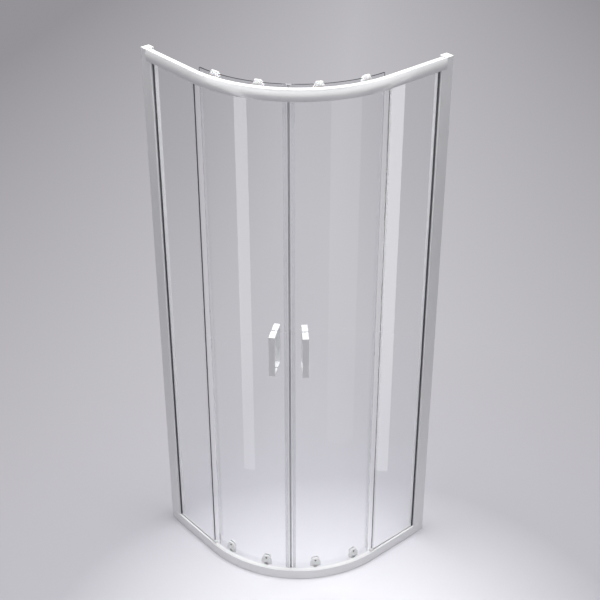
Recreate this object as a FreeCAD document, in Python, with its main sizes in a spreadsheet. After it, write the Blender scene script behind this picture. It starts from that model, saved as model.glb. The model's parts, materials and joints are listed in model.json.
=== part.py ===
import FreeCAD, Part
import math
import os
import Sketcher
from types import SimpleNamespace

from FreeCAD import Placement, Rotation, Vector

# Quadrant shower enclosure with two curved sliding doors, in millimetres.
# The room corner is at the back left, (-side/2, +side/2).  The left panel runs along the front,
# the right panel along the right side, and a quarter circle joins them.
# The origin is on the floor, at the middle of the square that the enclosure fills.
# Lengths that start with "reach" are measured outwards from the centre of the quarter circle.
DIMENSIONS = {
    # overall
    "side": 700.0,
    "height": 1950.0,
    "rail_radius": 435.0,
    # wall profiles and posts
    "profile_set_in": 3.5,
    "profile_width": 31.0,
    "profile_depth": 28.0,
    "profile_wall": 1.5,
    "profile_base": 1.8,
    "profile_cap": 2.0,
    "profile_rounding": 1.2,
    "post_width": 21.0,
    "post_wall": 1.6,
    "tongue_length": 18.0,
    "slide_gap": 0.2,
    "wall_hole_radius": 2.5,
    "wall_hole_margin": 150.0,
    "profile_screw_margin": 240.0,
    # top rail
    "top_face": 39.0,
    "rail_crown": 3.5,
    "rail_corner": 2.5,
    "rail_wall": 1.6,
    "rail_depth": 20.0,
    "track_height": 28.6,
    "lip_width": 1.3,
    "lip_height": 2.2,
    # bottom rail
    "bottom_face": 40.0,
    "bottom_set_in": 2.0,
    "groove_depth": 7.0,
    # glass
    "glass": 5.0,
    "fixed_inset": 11.0,
    "fixed_setback": 0.3,
    "gasket": 1.2,
    "gasket_show": 5.0,
    "channel_depth": 10.0,
    "door_inset": 32.0,
    "door_above": 5.0,
    "door_floor_gap": 12.0,
    "door_start": 0.5,
    # seals
    "seal_fit": 0.05,
    "seal_wall": 1.1,
    "magnet_head": 8.0,
    "magnet_legs": 11.0,
    "magnet_gap": 0.3,
    "trailing_legs": 9.0,
    "trailing_fin": 10.2,
    "edge_fin": 8.0,
    "edge_fin_drop": 1.9,
    "edge_legs": 8.0,
    "end_clip_height": 10.0,
    "end_clip_length": 14.0,
    "seal_end_gap": 4.0,
    # wheels
    "wheel_radius": 9.5,
    "wheel_width": 4.5,
    "wheel_inset": 11.5,
    "wheel_rest_gap": 0.3,
    "wheel_recess": 0.8,
    "wheel_hub_radius": 4.2,
    "axle_radius": 2.0,
    "axle_fit": 0.05,
    "axle_side_gap": 0.25,
    "axle_shoulder_radius": 3.2,
    "axle_head_radius": 3.4,
    "axle_head": 0.8,
    "axle_bury": 4.6,
    # roller carriages
    "rear_angle": 10.5,
    "front_angle": 32.0,
    "carriage_half": 20.0,
    "carriage_thickness": 6.5,
    "carriage_top": 15.0,
    "carriage_top_half": 11.0,
    "carriage_shoulder": 4.0,
    "carriage_foot_half": 10.0,
    "carriage_waist": 40.0,
    "carriage_rounding": 4.0,
    "carriage_edge": 1.2,
    "carriage_rim": 3.0,
    "carriage_field": 1.4,
    "boss_radius": 4.6,
    "boss_stand": 0.7,
    "carriage_skin": 1.6,
    "carriage_bolt_drop": 8.0,
    "bolt_radius": 3.0,
    "bolt_fit": 0.1,
    "glass_hole_radius": 4.5,
    "cap_radius": 17.0,
    "cap_thickness": 6.5,
    "cap_skin": 1.6,
    "cap_rounding": 2.0,
    "dot_radius": 2.0,
    "dot_depth": 1.5,
    "dot_drop": 8.0,
    # bottom carriages
    "housing_half": 19.0,
    "housing_thickness": 8.0,
    "housing_low": 41.0,
    "housing_top": 76.0,
    "housing_top_half": 8.0,
    "housing_shoulder": 52.0,
    "housing_edge": 3.0,
    "housing_bolt": 66.0,
    "bottom_cap_radius": 14.0,
    "pocket_wall": 1.3,
    "pocket_top": 58.0,
    "slider_half": 7.5,
    "slider_gap": 0.3,
    "slider_travel": 5.0,
    "slider_foot": 8.5,
    "window_half": 3.0,
    "window_low": 42.6,
    "window_top": 55.0,
    "spring_seat_low": 43.0,
    "spring_seat_top": 45.0,
    "spring_wire": 0.35,
    "spring_radius": 1.6,
    "spring_turns": 5.0,
    "button_half": 4.0,
    "button_low": 48.0,
    "button_high": 53.5,
    "button_stand": 1.4,
    # handles
    "handle_angle": 37.7,
    "handle_centre": 1005.0,
    "handle_height": 155.0,
    "handle_reach": 43.0,
    "handle_width": 21.0,
    "handle_thickness": 7.0,
    "handle_rounding": 1.0,
    "handle_pad": 1.2,
    "stud_radius": 2.0,
    "stud_bury": 14.0,
    "stud_fit": 0.05,
    "stud_hole_radius": 3.0,
    # screws and stops
    "screw_radius": 1.9,
    "screw_fit": 0.1,
    "screw_head_radius": 3.9,
    "screw_head": 2.4,
    "screw_length": 22.0,
    "profile_screw_length": 9.0,
    "driver_hole_radius": 4.5,
    "key_height": 25.0,
    "stop_length": 12.0,
    "stop_distance": 122.6,
    "stop_gap": 0.3,
}

ZERO_SPAN = 1e-9
SAME_PLACE = 1e-3
QUARTER_TURN = 90.0
SEAM_ANGLE = 45.0
SCREW_ROWS = range(3)
ROW_SPACES = len(SCREW_ROWS) - 1

document = FreeCAD.newDocument("QuadrantShowerEnclosure")
sheet = document.addObject("Spreadsheet::Sheet", "Sizes")
for row, (alias, number) in enumerate(DIMENSIONS.items(), start=1):
    sheet.set(f"A{row}", alias)
    sheet.set(f"B{row}", str(number))
    sheet.setAlias(f"B{row}", alias)
document.recompute()


class Size:
    """A length or an angle, with the sheet expression that it comes from."""

    def __init__(self, text, value):
        self.text = text
        self.value = value

    def __add__(self, other):
        other = as_size(other)
        return Size(f"({self.text} + {other.text})", self.value + other.value)

    def __radd__(self, other):
        return as_size(other) + self

    def __sub__(self, other):
        other = as_size(other)
        return Size(f"({self.text} - {other.text})", self.value - other.value)

    def __rsub__(self, other):
        return as_size(other) - self

    def __mul__(self, other):
        other = as_size(other)
        return Size(f"({self.text} * {other.text})", self.value * other.value)

    def __rmul__(self, other):
        return as_size(other) * self

    def __truediv__(self, other):
        other = as_size(other)
        return Size(f"({self.text} / {other.text})", self.value / other.value)

    def __neg__(self):
        return Size(f"(-1 * {self.text})", -self.value)


def as_size(number):
    if isinstance(number, Size):
        return number
    return Size(f"({float(number)!r})", float(number))


def root(size):
    return Size(f"sqrt({size.text})", math.sqrt(size.value))


def cosine(angle):
    return Size(f"cos({angle.text} * 1 deg)", math.cos(math.radians(angle.value)))


def sine(angle):
    return Size(f"sin({angle.text} * 1 deg)", math.sin(math.radians(angle.value)))


def arc_angle(length, radius):
    """The angle, in degrees, that a length covers on a circle."""
    ratio = as_size(length) / radius
    return Size(f"({ratio.text} * 180 / pi)", math.degrees(ratio.value))


def polar(radius, angle):
    angle = as_size(angle)
    return radius * cosine(angle), radius * sine(angle)


d = SimpleNamespace(**{alias: Size(f"Sizes.{alias}", number) for alias, number in DIMENSIONS.items()})

# ---------------------------------------------------------------------------------------------
# Places that several pieces share
# ---------------------------------------------------------------------------------------------
centre_x = d.side / 2 - d.rail_radius
centre_y = d.rail_radius - d.side / 2
straight = d.side - d.rail_radius
reach_profile = d.rail_radius - d.profile_set_in
reach_profile_inner = reach_profile - d.profile_width
reach_mouth = d.rail_radius - d.rail_depth
reach_fixed = d.rail_radius - d.fixed_inset
reach_fixed_inner = reach_fixed - d.glass
reach_groove = reach_fixed + d.gasket
reach_groove_inner = reach_fixed_inner - d.gasket
reach_groove_middle = (reach_groove + reach_groove_inner) / 2
reach_door = d.rail_radius - d.door_inset
reach_door_inner = reach_door - d.glass
reach_wheel = d.rail_radius - d.wheel_inset
reach_bottom = d.rail_radius - d.bottom_set_in

top_rail_low = d.height - d.top_face
ledge_top = d.height - d.rail_wall - d.track_height
ledge_low = ledge_top - d.rail_wall
groove_floor = d.bottom_face - d.groove_depth
web_low = groove_floor - d.rail_wall
top_axle = ledge_top + d.wheel_rest_gap + d.wheel_radius
bottom_axle = web_low - d.wheel_rest_gap - d.wheel_radius
door_high = d.height + d.door_above
post_far = d.profile_depth + d.post_width
glass_start = post_far - d.channel_depth + d.gasket
fixed_width = straight - d.fixed_setback
wall_hole_pitch = (d.height - d.wall_hole_margin * 2) / ROW_SPACES
profile_screw_pitch = (d.height - d.profile_screw_margin * 2) / ROW_SPACES
screw_place = (d.profile_depth + post_far - d.channel_depth) / 2
profile_screw_place = d.profile_depth - d.tongue_length / 2


# ---------------------------------------------------------------------------------------------
# Drawing helpers
# ---------------------------------------------------------------------------------------------
def new_body(label, turn=None, panel=False):
    """A body at the centre of the quarter circle, with +X turned outwards to an angle of the
    circle, or one at the wall end of the left panel."""
    body = document.addObject("PartDesign::Body", label)
    body.Label = label
    place_x = -(d.side / 2) if panel else centre_x
    angle = as_size(0.0) if turn is None else as_size(turn) - QUARTER_TURN
    rotation = Rotation(Vector(0, 0, 1), angle.value)
    body.Placement = Placement(Vector(place_x.value, centre_y.value, 0), rotation)
    body.setExpression("Placement.Base.x", place_x.text)
    body.setExpression("Placement.Base.y", centre_y.text)
    if turn is not None:
        body.setExpression("Placement.Rotation.Angle", angle.text)
    return body


def new_sketch(body, role, offset=None):
    sketch = body.newObject("Sketcher::SketchObject", f"{body.Name}_sketch")
    plane = next(item for item in body.Origin.OriginFeatures if item.Role == role)
    sketch.AttachmentSupport = (plane, [""])
    sketch.MapMode = "FlatFace"
    if offset is not None:
        offset = as_size(offset)
        sketch.AttachmentOffset = Placement(Vector(0, 0, offset.value), Rotation())
        sketch.setExpression("AttachmentOffset.Base.z", offset.text)
    return sketch


def tie(sketch, kind, geometry, point, size):
    """Hold one coordinate of a sketch point to a size."""
    if abs(size.value) < ZERO_SPAN:
        axis = -2 if kind == "DistanceX" else -1
        sketch.addConstraint(Sketcher.Constraint("PointOnObject", geometry, point, axis))
        return
    index = sketch.addConstraint(Sketcher.Constraint(kind, -1, 1, geometry, point, size.value))
    sketch.setExpression(f"Constraints[{index}]", size.text)


def arc_between(start, end, radius, turn):
    """The short arc from start to end; turn is +1 for counter-clockwise and -1 for clockwise."""
    chord = end - start
    lift = math.sqrt(max(radius ** 2 - (chord.Length / 2) ** 2, 0.0))
    side = Vector(-chord.y, chord.x, 0).normalize()
    centre = (start + end) * 0.5 + side * (lift * turn)
    first, last = (start, end) if turn > 0 else (end, start)
    angles = [math.atan2(point.y - centre.y, point.x - centre.x) for point in (first, last)]
    return Part.ArcOfCircle(Part.Circle(centre, Vector(0, 0, 1), radius), angles[0], angles[1])


def draw(sketch, corners):
    """A closed outline.  A corner is (x, y), or (x, y, radius, turn) where an arc starts."""
    corners = [tuple(as_size(item) if index < 3 else item for index, item in enumerate(corner))
               for corner in corners]
    points = [Vector(corner[0].value, corner[1].value, 0) for corner in corners]
    edges = []
    for index, corner in enumerate(corners):
        start = points[index]
        end = points[(index + 1) % len(points)]
        if len(corner) == 2:
            geometry = sketch.addGeometry(Part.LineSegment(start, end), False)
            edges.append((geometry, 1, 2))
            continue
        arc = arc_between(start, end, corner[2].value, corner[3])
        geometry = sketch.addGeometry(arc, False)
        edges.append((geometry, 1, 2) if corner[3] > 0 else (geometry, 2, 1))
    for index, edge in enumerate(edges):
        following = edges[(index + 1) % len(edges)]
        sketch.addConstraint(Sketcher.Constraint("Coincident", edge[0], edge[2], following[0], following[1]))
    for corner, edge in zip(corners, edges):
        tie(sketch, "DistanceX", edge[0], edge[1], corner[0])
        tie(sketch, "DistanceY", edge[0], edge[1], corner[1])
        if len(corner) > 2:
            index = sketch.addConstraint(Sketcher.Constraint("Radius", edge[0], corner[2].value))
            sketch.setExpression(f"Constraints[{index}]", corner[2].text)


def draw_circle(sketch, x, y, radius):
    x, y, radius = as_size(x), as_size(y), as_size(radius)
    circle = Part.Circle(Vector(x.value, y.value, 0), Vector(0, 0, 1), radius.value)
    geometry = sketch.addGeometry(circle, False)
    tie(sketch, "DistanceX", geometry, 3, x)
    tie(sketch, "DistanceY", geometry, 3, y)
    index = sketch.addConstraint(Sketcher.Constraint("Radius", geometry, radius.value))
    sketch.setExpression(f"Constraints[{index}]", radius.text)


def rectangle(x_low, x_high, y_low, y_high):
    return [(x_low, y_low), (x_high, y_low), (x_high, y_high), (x_low, y_high)]


def feature(body, kind, sketch, length_name, size, reverse=False):
    item = body.newObject(f"PartDesign::{kind}", f"{body.Name}_{kind.lower()}")
    item.Profile = sketch
    setattr(item, length_name, as_size(size).value)
    item.setExpression(length_name, as_size(size).text)
    item.Reversed = reverse
    return item


def pad(body, sketch, length, reverse=False):
    return feature(body, "Pad", sketch, "Length", length, reverse)


def pocket(body, sketch, length, reverse=False):
    return feature(body, "Pocket", sketch, "Length", length, reverse)


def spin(body, sketch, axis_role, kind="Revolution", angle=360.0):
    """Turn a profile about one of the body's own axes."""
    item = feature(body, kind, sketch, "Angle", angle)
    axis = next(entry for entry in body.Origin.OriginFeatures if entry.Role == axis_role)
    item.ReferenceAxis = (axis, [""])
    return item


def soften(body, kind, size, picks):
    """Fillet or chamfer the edges of the body's shape that pass the test."""
    document.recompute()
    base = body.Tip
    names = [f"Edge{index}" for index, edge in enumerate(base.Shape.Edges, start=1) if picks(edge)]
    item = body.newObject(f"PartDesign::{kind}", f"{body.Name}_{kind.lower()}")
    item.Base = (base, names)
    length_name = "Radius" if kind == "Fillet" else "Size"
    item.setExpression(length_name, size.text)
    return item


def runs_along(edge, axis):
    """True for a straight edge along one of the body's axes."""
    if not isinstance(edge.Curve, Part.Line):
        return False
    return edge.Curve.Direction.cross(axis).Length < SAME_PLACE


def lies_at(edge, coordinate, value):
    """True for an edge that lies wholly at one coordinate."""
    box = edge.BoundBox
    low, high = {"x": (box.XMin, box.XMax), "y": (box.YMin, box.YMax), "z": (box.ZMin, box.ZMax)}[coordinate]
    return abs(low - value.value) < SAME_PLACE and abs(high - value.value) < SAME_PLACE


ALONG_X = Vector(1, 0, 0)
ALONG_Z = Vector(0, 0, 1)
kept = []


def keep(item, label):
    item.Label = label
    kept.append(item)
    return item


def cut(label, base, tools):
    tool = document.addObject("Part::Compound", f"{label}_holes")
    tool.Links = tools
    item = document.addObject("Part::Cut", label)
    item.Base = base
    item.Tool = tool
    return item


def mirrored(source, label):
    """The piece on the other side of the plane through the room corner and the door seam."""
    item = document.addObject("Part::Mirroring", label)
    item.Source = source
    item.Base = Vector(0, 0, 0)
    item.Normal = Vector(1, 1, 0)
    return item


def on_both_sides(label, items):
    """One sub-part of separate solids: the pieces of the left side and their mirror images."""
    group = document.addObject("Part::Compound", label)
    group.Links = items + [mirrored(item, f"{item.Name}_right") for item in items]
    return keep(group, label)


def keep_pair(source, name):
    keep(source, f"{name}_left")
    return keep(mirrored(source, f"{name}_right"), f"{name}_right")


# ---------------------------------------------------------------------------------------------
# Wall profiles, posts and what joins them
# ---------------------------------------------------------------------------------------------
def wall_profile():
    """An open channel screwed to the wall; the post slides into it to take up a wall out of true."""
    body = new_body("wall_profile", panel=True)
    outer, inner = -reach_profile, -reach_profile_inner
    draw_on = new_sketch(body, "XY_Plane")
    draw(draw_on, [
        (0, outer), (d.profile_depth, outer), (d.profile_depth, outer + d.profile_wall),
        (d.profile_base, outer + d.profile_wall), (d.profile_base, inner - d.profile_wall),
        (d.profile_depth, inner - d.profile_wall), (d.profile_depth, inner), (0, inner)])
    pad(body, draw_on, d.height - d.profile_cap)
    wall_holes = new_sketch(body, "YZ_Plane")
    for step in SCREW_ROWS:
        draw_circle(wall_holes, outer + d.profile_width / 2, d.wall_hole_margin + wall_hole_pitch * step,
                    d.wall_hole_radius)
    pocket(body, wall_holes, d.profile_base, reverse=True)
    drill_profile_screws(body, inner)
    return body


def drill_profile_screws(body, inner):
    """Three holes through the flange that faces the shower, from just outside it."""
    holes = new_sketch(body, "XZ_Plane", -inner - d.slide_gap)
    for step in SCREW_ROWS:
        draw_circle(holes, profile_screw_place, d.profile_screw_margin + profile_screw_pitch * step,
                    d.screw_radius + d.screw_fit)
    pocket(body, holes, (d.profile_wall + d.slide_gap) * 2, reverse=True)


def post():
    """The upright between the two rails: a hollow box with a glass channel and a sliding tongue."""
    body = new_body("post", panel=True)
    outer, inner = -reach_profile, -reach_profile_inner
    tongue_outer = outer + d.profile_wall + d.slide_gap
    tongue_inner = inner - d.profile_wall - d.slide_gap
    tongue_start = d.profile_depth - d.tongue_length
    channel = post_far - d.channel_depth
    section = new_sketch(body, "XY_Plane", d.bottom_face)
    draw(section, [
        (tongue_start, tongue_outer), (d.profile_depth, tongue_outer), (d.profile_depth, outer),
        (post_far, outer), (post_far, -reach_groove), (channel, -reach_groove),
        (channel, -reach_groove_inner), (post_far, -reach_groove_inner), (post_far, inner),
        (d.profile_depth, inner), (d.profile_depth, tongue_inner), (tongue_start, tongue_inner),
        (tongue_start, tongue_inner - d.profile_wall),
        (d.profile_depth, tongue_inner - d.profile_wall),
        (d.profile_depth, tongue_outer + d.profile_wall),
        (tongue_start, tongue_outer + d.profile_wall)])
    chamber_start = d.profile_depth + d.post_wall
    draw(section, [
        (chamber_start, outer + d.post_wall), (channel - d.post_wall, outer + d.post_wall),
        (channel - d.post_wall, -reach_groove_inner + d.post_wall),
        (post_far - d.post_wall, -reach_groove_inner + d.post_wall),
        (post_far - d.post_wall, inner - d.post_wall), (chamber_start, inner - d.post_wall)])
    pad(body, section, top_rail_low - d.bottom_face)
    drill_profile_screws(body, inner)
    corners = (outer.value, inner.value)
    soften(body, "Fillet", d.profile_rounding, lambda edge: runs_along(edge, ALONG_Z) and any(
        lies_at(edge, "x", post_far) and lies_at(edge, "y", as_size(y)) for y in corners))
    return body


def profile_cap():
    body = new_body("wall_profile_cap", panel=True)
    outline = new_sketch(body, "XY_Plane", d.height - d.profile_cap)
    draw(outline, rectangle(0, d.profile_depth, -reach_profile, -reach_profile_inner))
    pad(body, outline, d.profile_cap)
    spigot = new_sketch(body, "XY_Plane", d.height - d.profile_cap)
    side_gap = d.profile_wall + d.slide_gap
    draw(spigot, rectangle(d.profile_base + d.slide_gap, d.profile_depth - d.post_wall,
                           -reach_profile + side_gap, -reach_profile_inner - side_gap))
    pad(body, spigot, d.profile_cap * 3, reverse=True)
    soften(body, "Fillet", d.profile_rounding / 2, lambda edge: lies_at(edge, "z", d.height))
    return body


def corner_key(name, low):
    """A block in the end of the post's chamber that the rail's screw bites into."""
    body = new_body(name, panel=True)
    outline = new_sketch(body, "XY_Plane", low)
    start = d.profile_depth + d.post_wall + d.slide_gap
    end = post_far - d.channel_depth - d.post_wall - d.slide_gap
    draw(outline, rectangle(start, end, -reach_profile + d.post_wall + d.slide_gap,
                            -reach_profile_inner - d.post_wall - d.slide_gap))
    draw_circle(outline, screw_place, -reach_groove_middle, d.screw_radius + d.screw_fit / 2)
    pad(body, outline, d.key_height)
    return body


def screw_profile(head_base, away, length):
    """Half outline of a pan-head screw along the Z axis; away is +1 where the head points up."""
    top = head_base + d.screw_head * away
    tip = head_base - length * away
    shoulder = head_base + d.screw_head * away / 2
    return [(0, top), (d.screw_head_radius / 2, top), (d.screw_head_radius, shoulder),
            (d.screw_head_radius, head_base), (d.screw_radius, head_base),
            (d.screw_radius, tip + d.screw_radius * away), (0, tip)]


def upright_screw(name, head_base, away):
    """A screw along Z through a rail, into the post."""
    body = new_body(name, panel=True)
    body.setExpression("Placement.Base.x", (screw_place - d.side / 2).text)
    body.setExpression("Placement.Base.y", (centre_y - reach_groove_middle).text)
    outline = new_sketch(body, "XZ_Plane")
    draw(outline, screw_profile(head_base, away, d.screw_length))
    spin(body, outline, "Z_Axis")
    return body


def profile_screw(name, step):
    """A screw from the shower's inside through the wall profile and the post's tongue."""
    body = new_body(name, panel=True)
    height = d.profile_screw_margin + profile_screw_pitch * step
    body.Placement = Placement(Vector(), Rotation(Vector(1, 0, 0), -QUARTER_TURN))
    body.setExpression("Placement.Base.x", (profile_screw_place - d.side / 2).text)
    body.setExpression("Placement.Base.y", (centre_y - reach_profile_inner).text)
    body.setExpression("Placement.Base.z", height.text)
    outline = new_sketch(body, "XZ_Plane")
    draw(outline, screw_profile(as_size(0), 1, d.profile_screw_length))
    spin(body, outline, "Z_Axis")
    return body


# ---------------------------------------------------------------------------------------------
# Rails
# ---------------------------------------------------------------------------------------------
def crown_radius():
    half = (d.top_face - d.rail_corner) / 2
    return (half * half + d.rail_crown * d.rail_crown) / (d.rail_crown * 2)


def crown_inside(level):
    """Reach of the inner side of the top rail's rounded face at a level."""
    radius = crown_radius()
    rise = level - (top_rail_low + (d.top_face - d.rail_corner) / 2)
    inner = radius - d.rail_wall
    return d.rail_radius - radius + root(inner * inner - rise * rise)


def top_rail_section(side):
    """Section of the top rail as (reach, level): a rounded face, a roof, a ledge with a lip that the
    door wheels run on, and below it the groove for the fixed glass."""
    radius = crown_radius()
    face = d.rail_radius - d.rail_crown
    lip = reach_mouth + d.lip_width
    pocket_start = reach_groove + d.rail_wall
    roof_low = d.height - d.rail_wall
    corners = [
        (face, top_rail_low, radius, 1), (face, d.height - d.rail_corner, d.rail_corner, 1),
        (face - d.rail_corner, d.height), (reach_mouth, d.height), (reach_mouth, roof_low),
        (crown_inside(roof_low), roof_low, radius - d.rail_wall, -1),
        (crown_inside(ledge_top), ledge_top), (lip, ledge_top), (lip, ledge_top + d.lip_height),
        (reach_mouth, ledge_top + d.lip_height), (reach_mouth, top_rail_low),
        (reach_groove_inner, top_rail_low), (reach_groove_inner, ledge_low),
        (reach_groove, ledge_low), (reach_groove, top_rail_low), (pocket_start, top_rail_low),
        (pocket_start, ledge_low), (crown_inside(ledge_low), ledge_low, radius - d.rail_wall, -1),
        (crown_inside(top_rail_low), top_rail_low)]
    return on_side(corners, side)


def bottom_rail_section(side):
    """Section of the bottom rail as (reach, level): a flat face, a groove for the fixed glass on top,
    and below it a channel whose roof has a lip that the lower wheels hook behind."""
    lip = reach_mouth + d.lip_width
    face_inner = reach_bottom - d.rail_wall
    corners = [
        (reach_bottom, 0), (reach_bottom, d.bottom_face - d.rail_corner, d.rail_corner, 1),
        (reach_bottom - d.rail_corner, d.bottom_face), (reach_groove, d.bottom_face),
        (reach_groove, groove_floor), (reach_groove_inner, groove_floor),
        (reach_groove_inner, d.bottom_face), (reach_mouth, d.bottom_face),
        (reach_mouth, web_low - d.lip_height), (lip, web_low - d.lip_height), (lip, web_low),
        (face_inner, web_low), (face_inner, d.rail_wall), (reach_mouth, d.rail_wall), (reach_mouth, 0)]
    return on_side(corners, side)


def on_side(corners, side):
    """Flip a section's reach for a plane that looks the other way."""
    flipped = []
    for corner in corners:
        place = as_size(corner[0]) * side
        arc = (corner[2], corner[3] * side) if len(corner) > 2 else ()
        flipped.append((place, corner[1]) + arc)
    return flipped


def bent_rail(name, section):
    """A rail of constant section: straight, a quarter circle, straight."""
    body = new_body(name)
    run = straight - d.profile_depth
    left = new_sketch(body, "YZ_Plane")
    draw(left, section(-1))
    pad(body, left, run, reverse=True)
    bend = new_sketch(body, "YZ_Plane")
    draw(bend, section(-1))
    spin(body, bend, "Z_Axis", angle=QUARTER_TURN)
    right = new_sketch(body, "XZ_Plane")
    draw(right, section(1))
    pad(body, right, run, reverse=True)
    return body


def rail_holes(body, level, depth, radius, reverse=False):
    """The same hole near both ends of a rail, for the screws into the posts."""
    holes = new_sketch(body, "XY_Plane", level)
    run = screw_place - straight
    draw_circle(holes, run, -reach_groove_middle, radius)
    draw_circle(holes, reach_groove_middle, -run, radius)
    pocket(body, holes, depth, reverse)


def top_rail():
    body = bent_rail("top_rail", top_rail_section)
    rail_holes(body, d.height, d.rail_wall * 2, d.driver_hole_radius)
    rail_holes(body, ledge_top, d.rail_wall * 2, d.screw_radius + d.screw_fit)
    return body


def bottom_rail():
    body = bent_rail("bottom_rail", bottom_rail_section)
    rail_holes(body, groove_floor, d.rail_wall * 2, d.screw_radius + d.screw_fit)
    rail_holes(body, d.rail_wall, d.rail_wall * 2, d.driver_hole_radius)
    return body


def bottom_infill():
    """A strip that closes the empty groove of the bottom rail between the two fixed panes."""
    body = new_body("bottom_rail_infill")
    section = new_sketch(body, "YZ_Plane")
    draw(section, rectangle(-(reach_groove - d.slide_gap), -(reach_groove_inner + d.slide_gap),
                            groove_floor, d.bottom_face))
    spin(body, section, "Z_Axis", angle=QUARTER_TURN)
    return body


def door_stop():
    """A bumper in the top rail's track that the rear wheel meets when the door is fully open."""
    body = new_body("door_stop")
    outline = new_sketch(body, "YZ_Plane", -d.stop_distance)
    low = ledge_top
    high = d.height - d.rail_wall - d.stop_gap
    draw(outline, rectangle(-(crown_inside(d.height - d.rail_wall) - d.stop_gap),
                            -(reach_mouth + d.lip_width + d.stop_gap), low, high))
    pad(body, outline, d.stop_length, reverse=True)
    soften(body, "Chamfer", d.carriage_edge, lambda edge: lies_at(edge, "x", -d.stop_distance))
    return body


# ---------------------------------------------------------------------------------------------
# Fixed panes
# ---------------------------------------------------------------------------------------------
def fixed_glass():
    body = new_body("fixed_glass", panel=True)
    low = groove_floor + d.gasket
    high = ledge_low - d.gasket
    outline = new_sketch(body, "XZ_Plane", reach_fixed_inner)
    draw(outline, rectangle(glass_start, fixed_width, low, high))
    pad(body, outline, d.glass)
    return body


def glazing_gasket():
    """The dark channel gasket that holds the fixed pane in the post."""
    body = new_body("glazing_gasket", panel=True)
    section = new_sketch(body, "XY_Plane", d.bottom_face)
    end = post_far + d.gasket_show
    channel = post_far - d.channel_depth
    draw(section, [
        (channel, -reach_groove), (end, -reach_groove), (end, -reach_fixed), (glass_start, -reach_fixed),
        (glass_start, -reach_fixed_inner), (end, -reach_fixed_inner), (end, -reach_groove_inner),
        (channel, -reach_groove_inner)])
    pad(body, section, top_rail_low - d.bottom_face)
    return body


def rail_glazing(name, base, mouth):
    """The strip that holds the pane's edge in a rail's groove, from the groove's base to its mouth."""
    body = new_body(name, panel=True)
    section = new_sketch(body, "YZ_Plane", post_far)
    away = 1 if mouth.value > base.value else -1
    floor = base + d.gasket * away
    draw(section, [
        (-reach_groove, base), (-reach_groove_inner, base), (-reach_groove_inner, mouth),
        (-reach_fixed_inner, mouth), (-reach_fixed_inner, floor), (-reach_fixed, floor),
        (-reach_fixed, mouth), (-reach_groove, mouth)])
    pad(body, section, fixed_width - post_far)
    return body


def edge_seal():
    """The clear strip on the fixed pane's free edge, with a soft fin towards the door."""
    body = new_body("fixed_edge_seal", panel=True)
    low = d.bottom_face + d.end_clip_height
    section = new_sketch(body, "XY_Plane", low)
    legs = fixed_width - d.edge_legs
    back = fixed_width + d.seal_wall
    fin_tip = back + d.edge_fin
    fin_root = reach_fixed_inner + d.seal_wall
    draw(section, [
        (legs, -reach_groove), (back, -reach_groove), (back, -fin_root - d.seal_wall),
        (fin_tip, -fin_root - d.seal_wall + d.edge_fin_drop), (fin_tip, -fin_root + d.edge_fin_drop),
        (back, -fin_root), (back, -reach_groove_inner), (legs, -reach_groove_inner),
        (legs, -reach_fixed_inner), (fixed_width, -reach_fixed_inner), (fixed_width, -reach_fixed),
        (legs, -reach_fixed)])
    pad(body, section, top_rail_low - low)
    return body


def end_clip():
    """The small white block that holds the free corner of the fixed pane on the bottom rail."""
    body = new_body("glass_end_clip", panel=True)
    section = new_sketch(body, "XY_Plane", d.bottom_face)
    start = fixed_width - d.edge_legs / 2
    end = start + d.end_clip_length
    draw(section, [
        (start, -(reach_groove + d.seal_wall)), (end, -(reach_groove + d.seal_wall)),
        (end, -reach_groove_inner), (start, -reach_groove_inner), (start, -reach_fixed_inner),
        (fixed_width, -reach_fixed_inner), (fixed_width, -reach_fixed), (start, -reach_fixed)])
    pad(body, section, d.end_clip_height)
    return body


# ---------------------------------------------------------------------------------------------
# Door glass and its seals
# ---------------------------------------------------------------------------------------------
door_middle = as_size(SEAM_ANGLE / 2)
door_end = SEAM_ANGLE - arc_angle(d.magnet_head + d.magnet_gap / 2, reach_door)


def drill(name, turn, holes):
    """Radial drills at an angle of the circle, as a list of (level, radius)."""
    body = new_body(name, turn=turn)
    start = reach_door_inner - d.glass
    plane = new_sketch(body, "YZ_Plane", start)
    for level, radius in holes:
        draw_circle(plane, 0, level, radius)
    pad(body, plane, d.glass * 3)
    return body


def ring_outline(outer, inner, start, end):
    """A stretch of a ring between two angles."""
    return [
        polar(outer, start) + (outer, 1), polar(outer, end), polar(inner, end) + (inner, -1),
        polar(inner, start)]


def door_glass():
    body = new_body("door_pane", turn=door_middle)
    outline = new_sketch(body, "XY_Plane", d.door_floor_gap)
    draw(outline, ring_outline(reach_door, reach_door_inner, d.door_start - door_middle,
                               door_end - door_middle))
    pad(body, outline, door_high - d.door_floor_gap)
    holes = [(carriage_bolt, d.glass_hole_radius), (d.housing_bolt, d.glass_hole_radius)]
    handle_holes = [(level, d.stud_hole_radius) for level in handle_levels]
    drills = [drill("rear_drill", d.rear_angle, holes), drill("front_drill", d.front_angle, holes),
              drill("handle_drill", d.handle_angle, handle_holes)]
    return cut("door_glass", body, drills)


def clip_outline(edge_angle, leg_length, head_length, way):
    """A clip around an upright edge of the door glass, with a solid head beyond the edge.  The way is
    +1 where the glass lies at larger angles than its edge, and -1 where it lies at smaller ones."""
    outer_face, inner_face = reach_door + d.seal_fit, reach_door_inner - d.seal_fit
    outer, inner = outer_face + d.seal_wall, inner_face - d.seal_wall
    leg_end = edge_angle + arc_angle(leg_length, reach_door) * way
    head_end = edge_angle - arc_angle(head_length, reach_door) * way
    return [
        polar(outer, leg_end) + (outer, -way), polar(outer, head_end),
        polar(inner, head_end) + (inner, way), polar(inner, leg_end),
        polar(inner_face, leg_end) + (inner_face, -way), polar(inner_face, edge_angle),
        polar(outer_face, edge_angle) + (outer_face, way), polar(outer_face, leg_end)]


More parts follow.
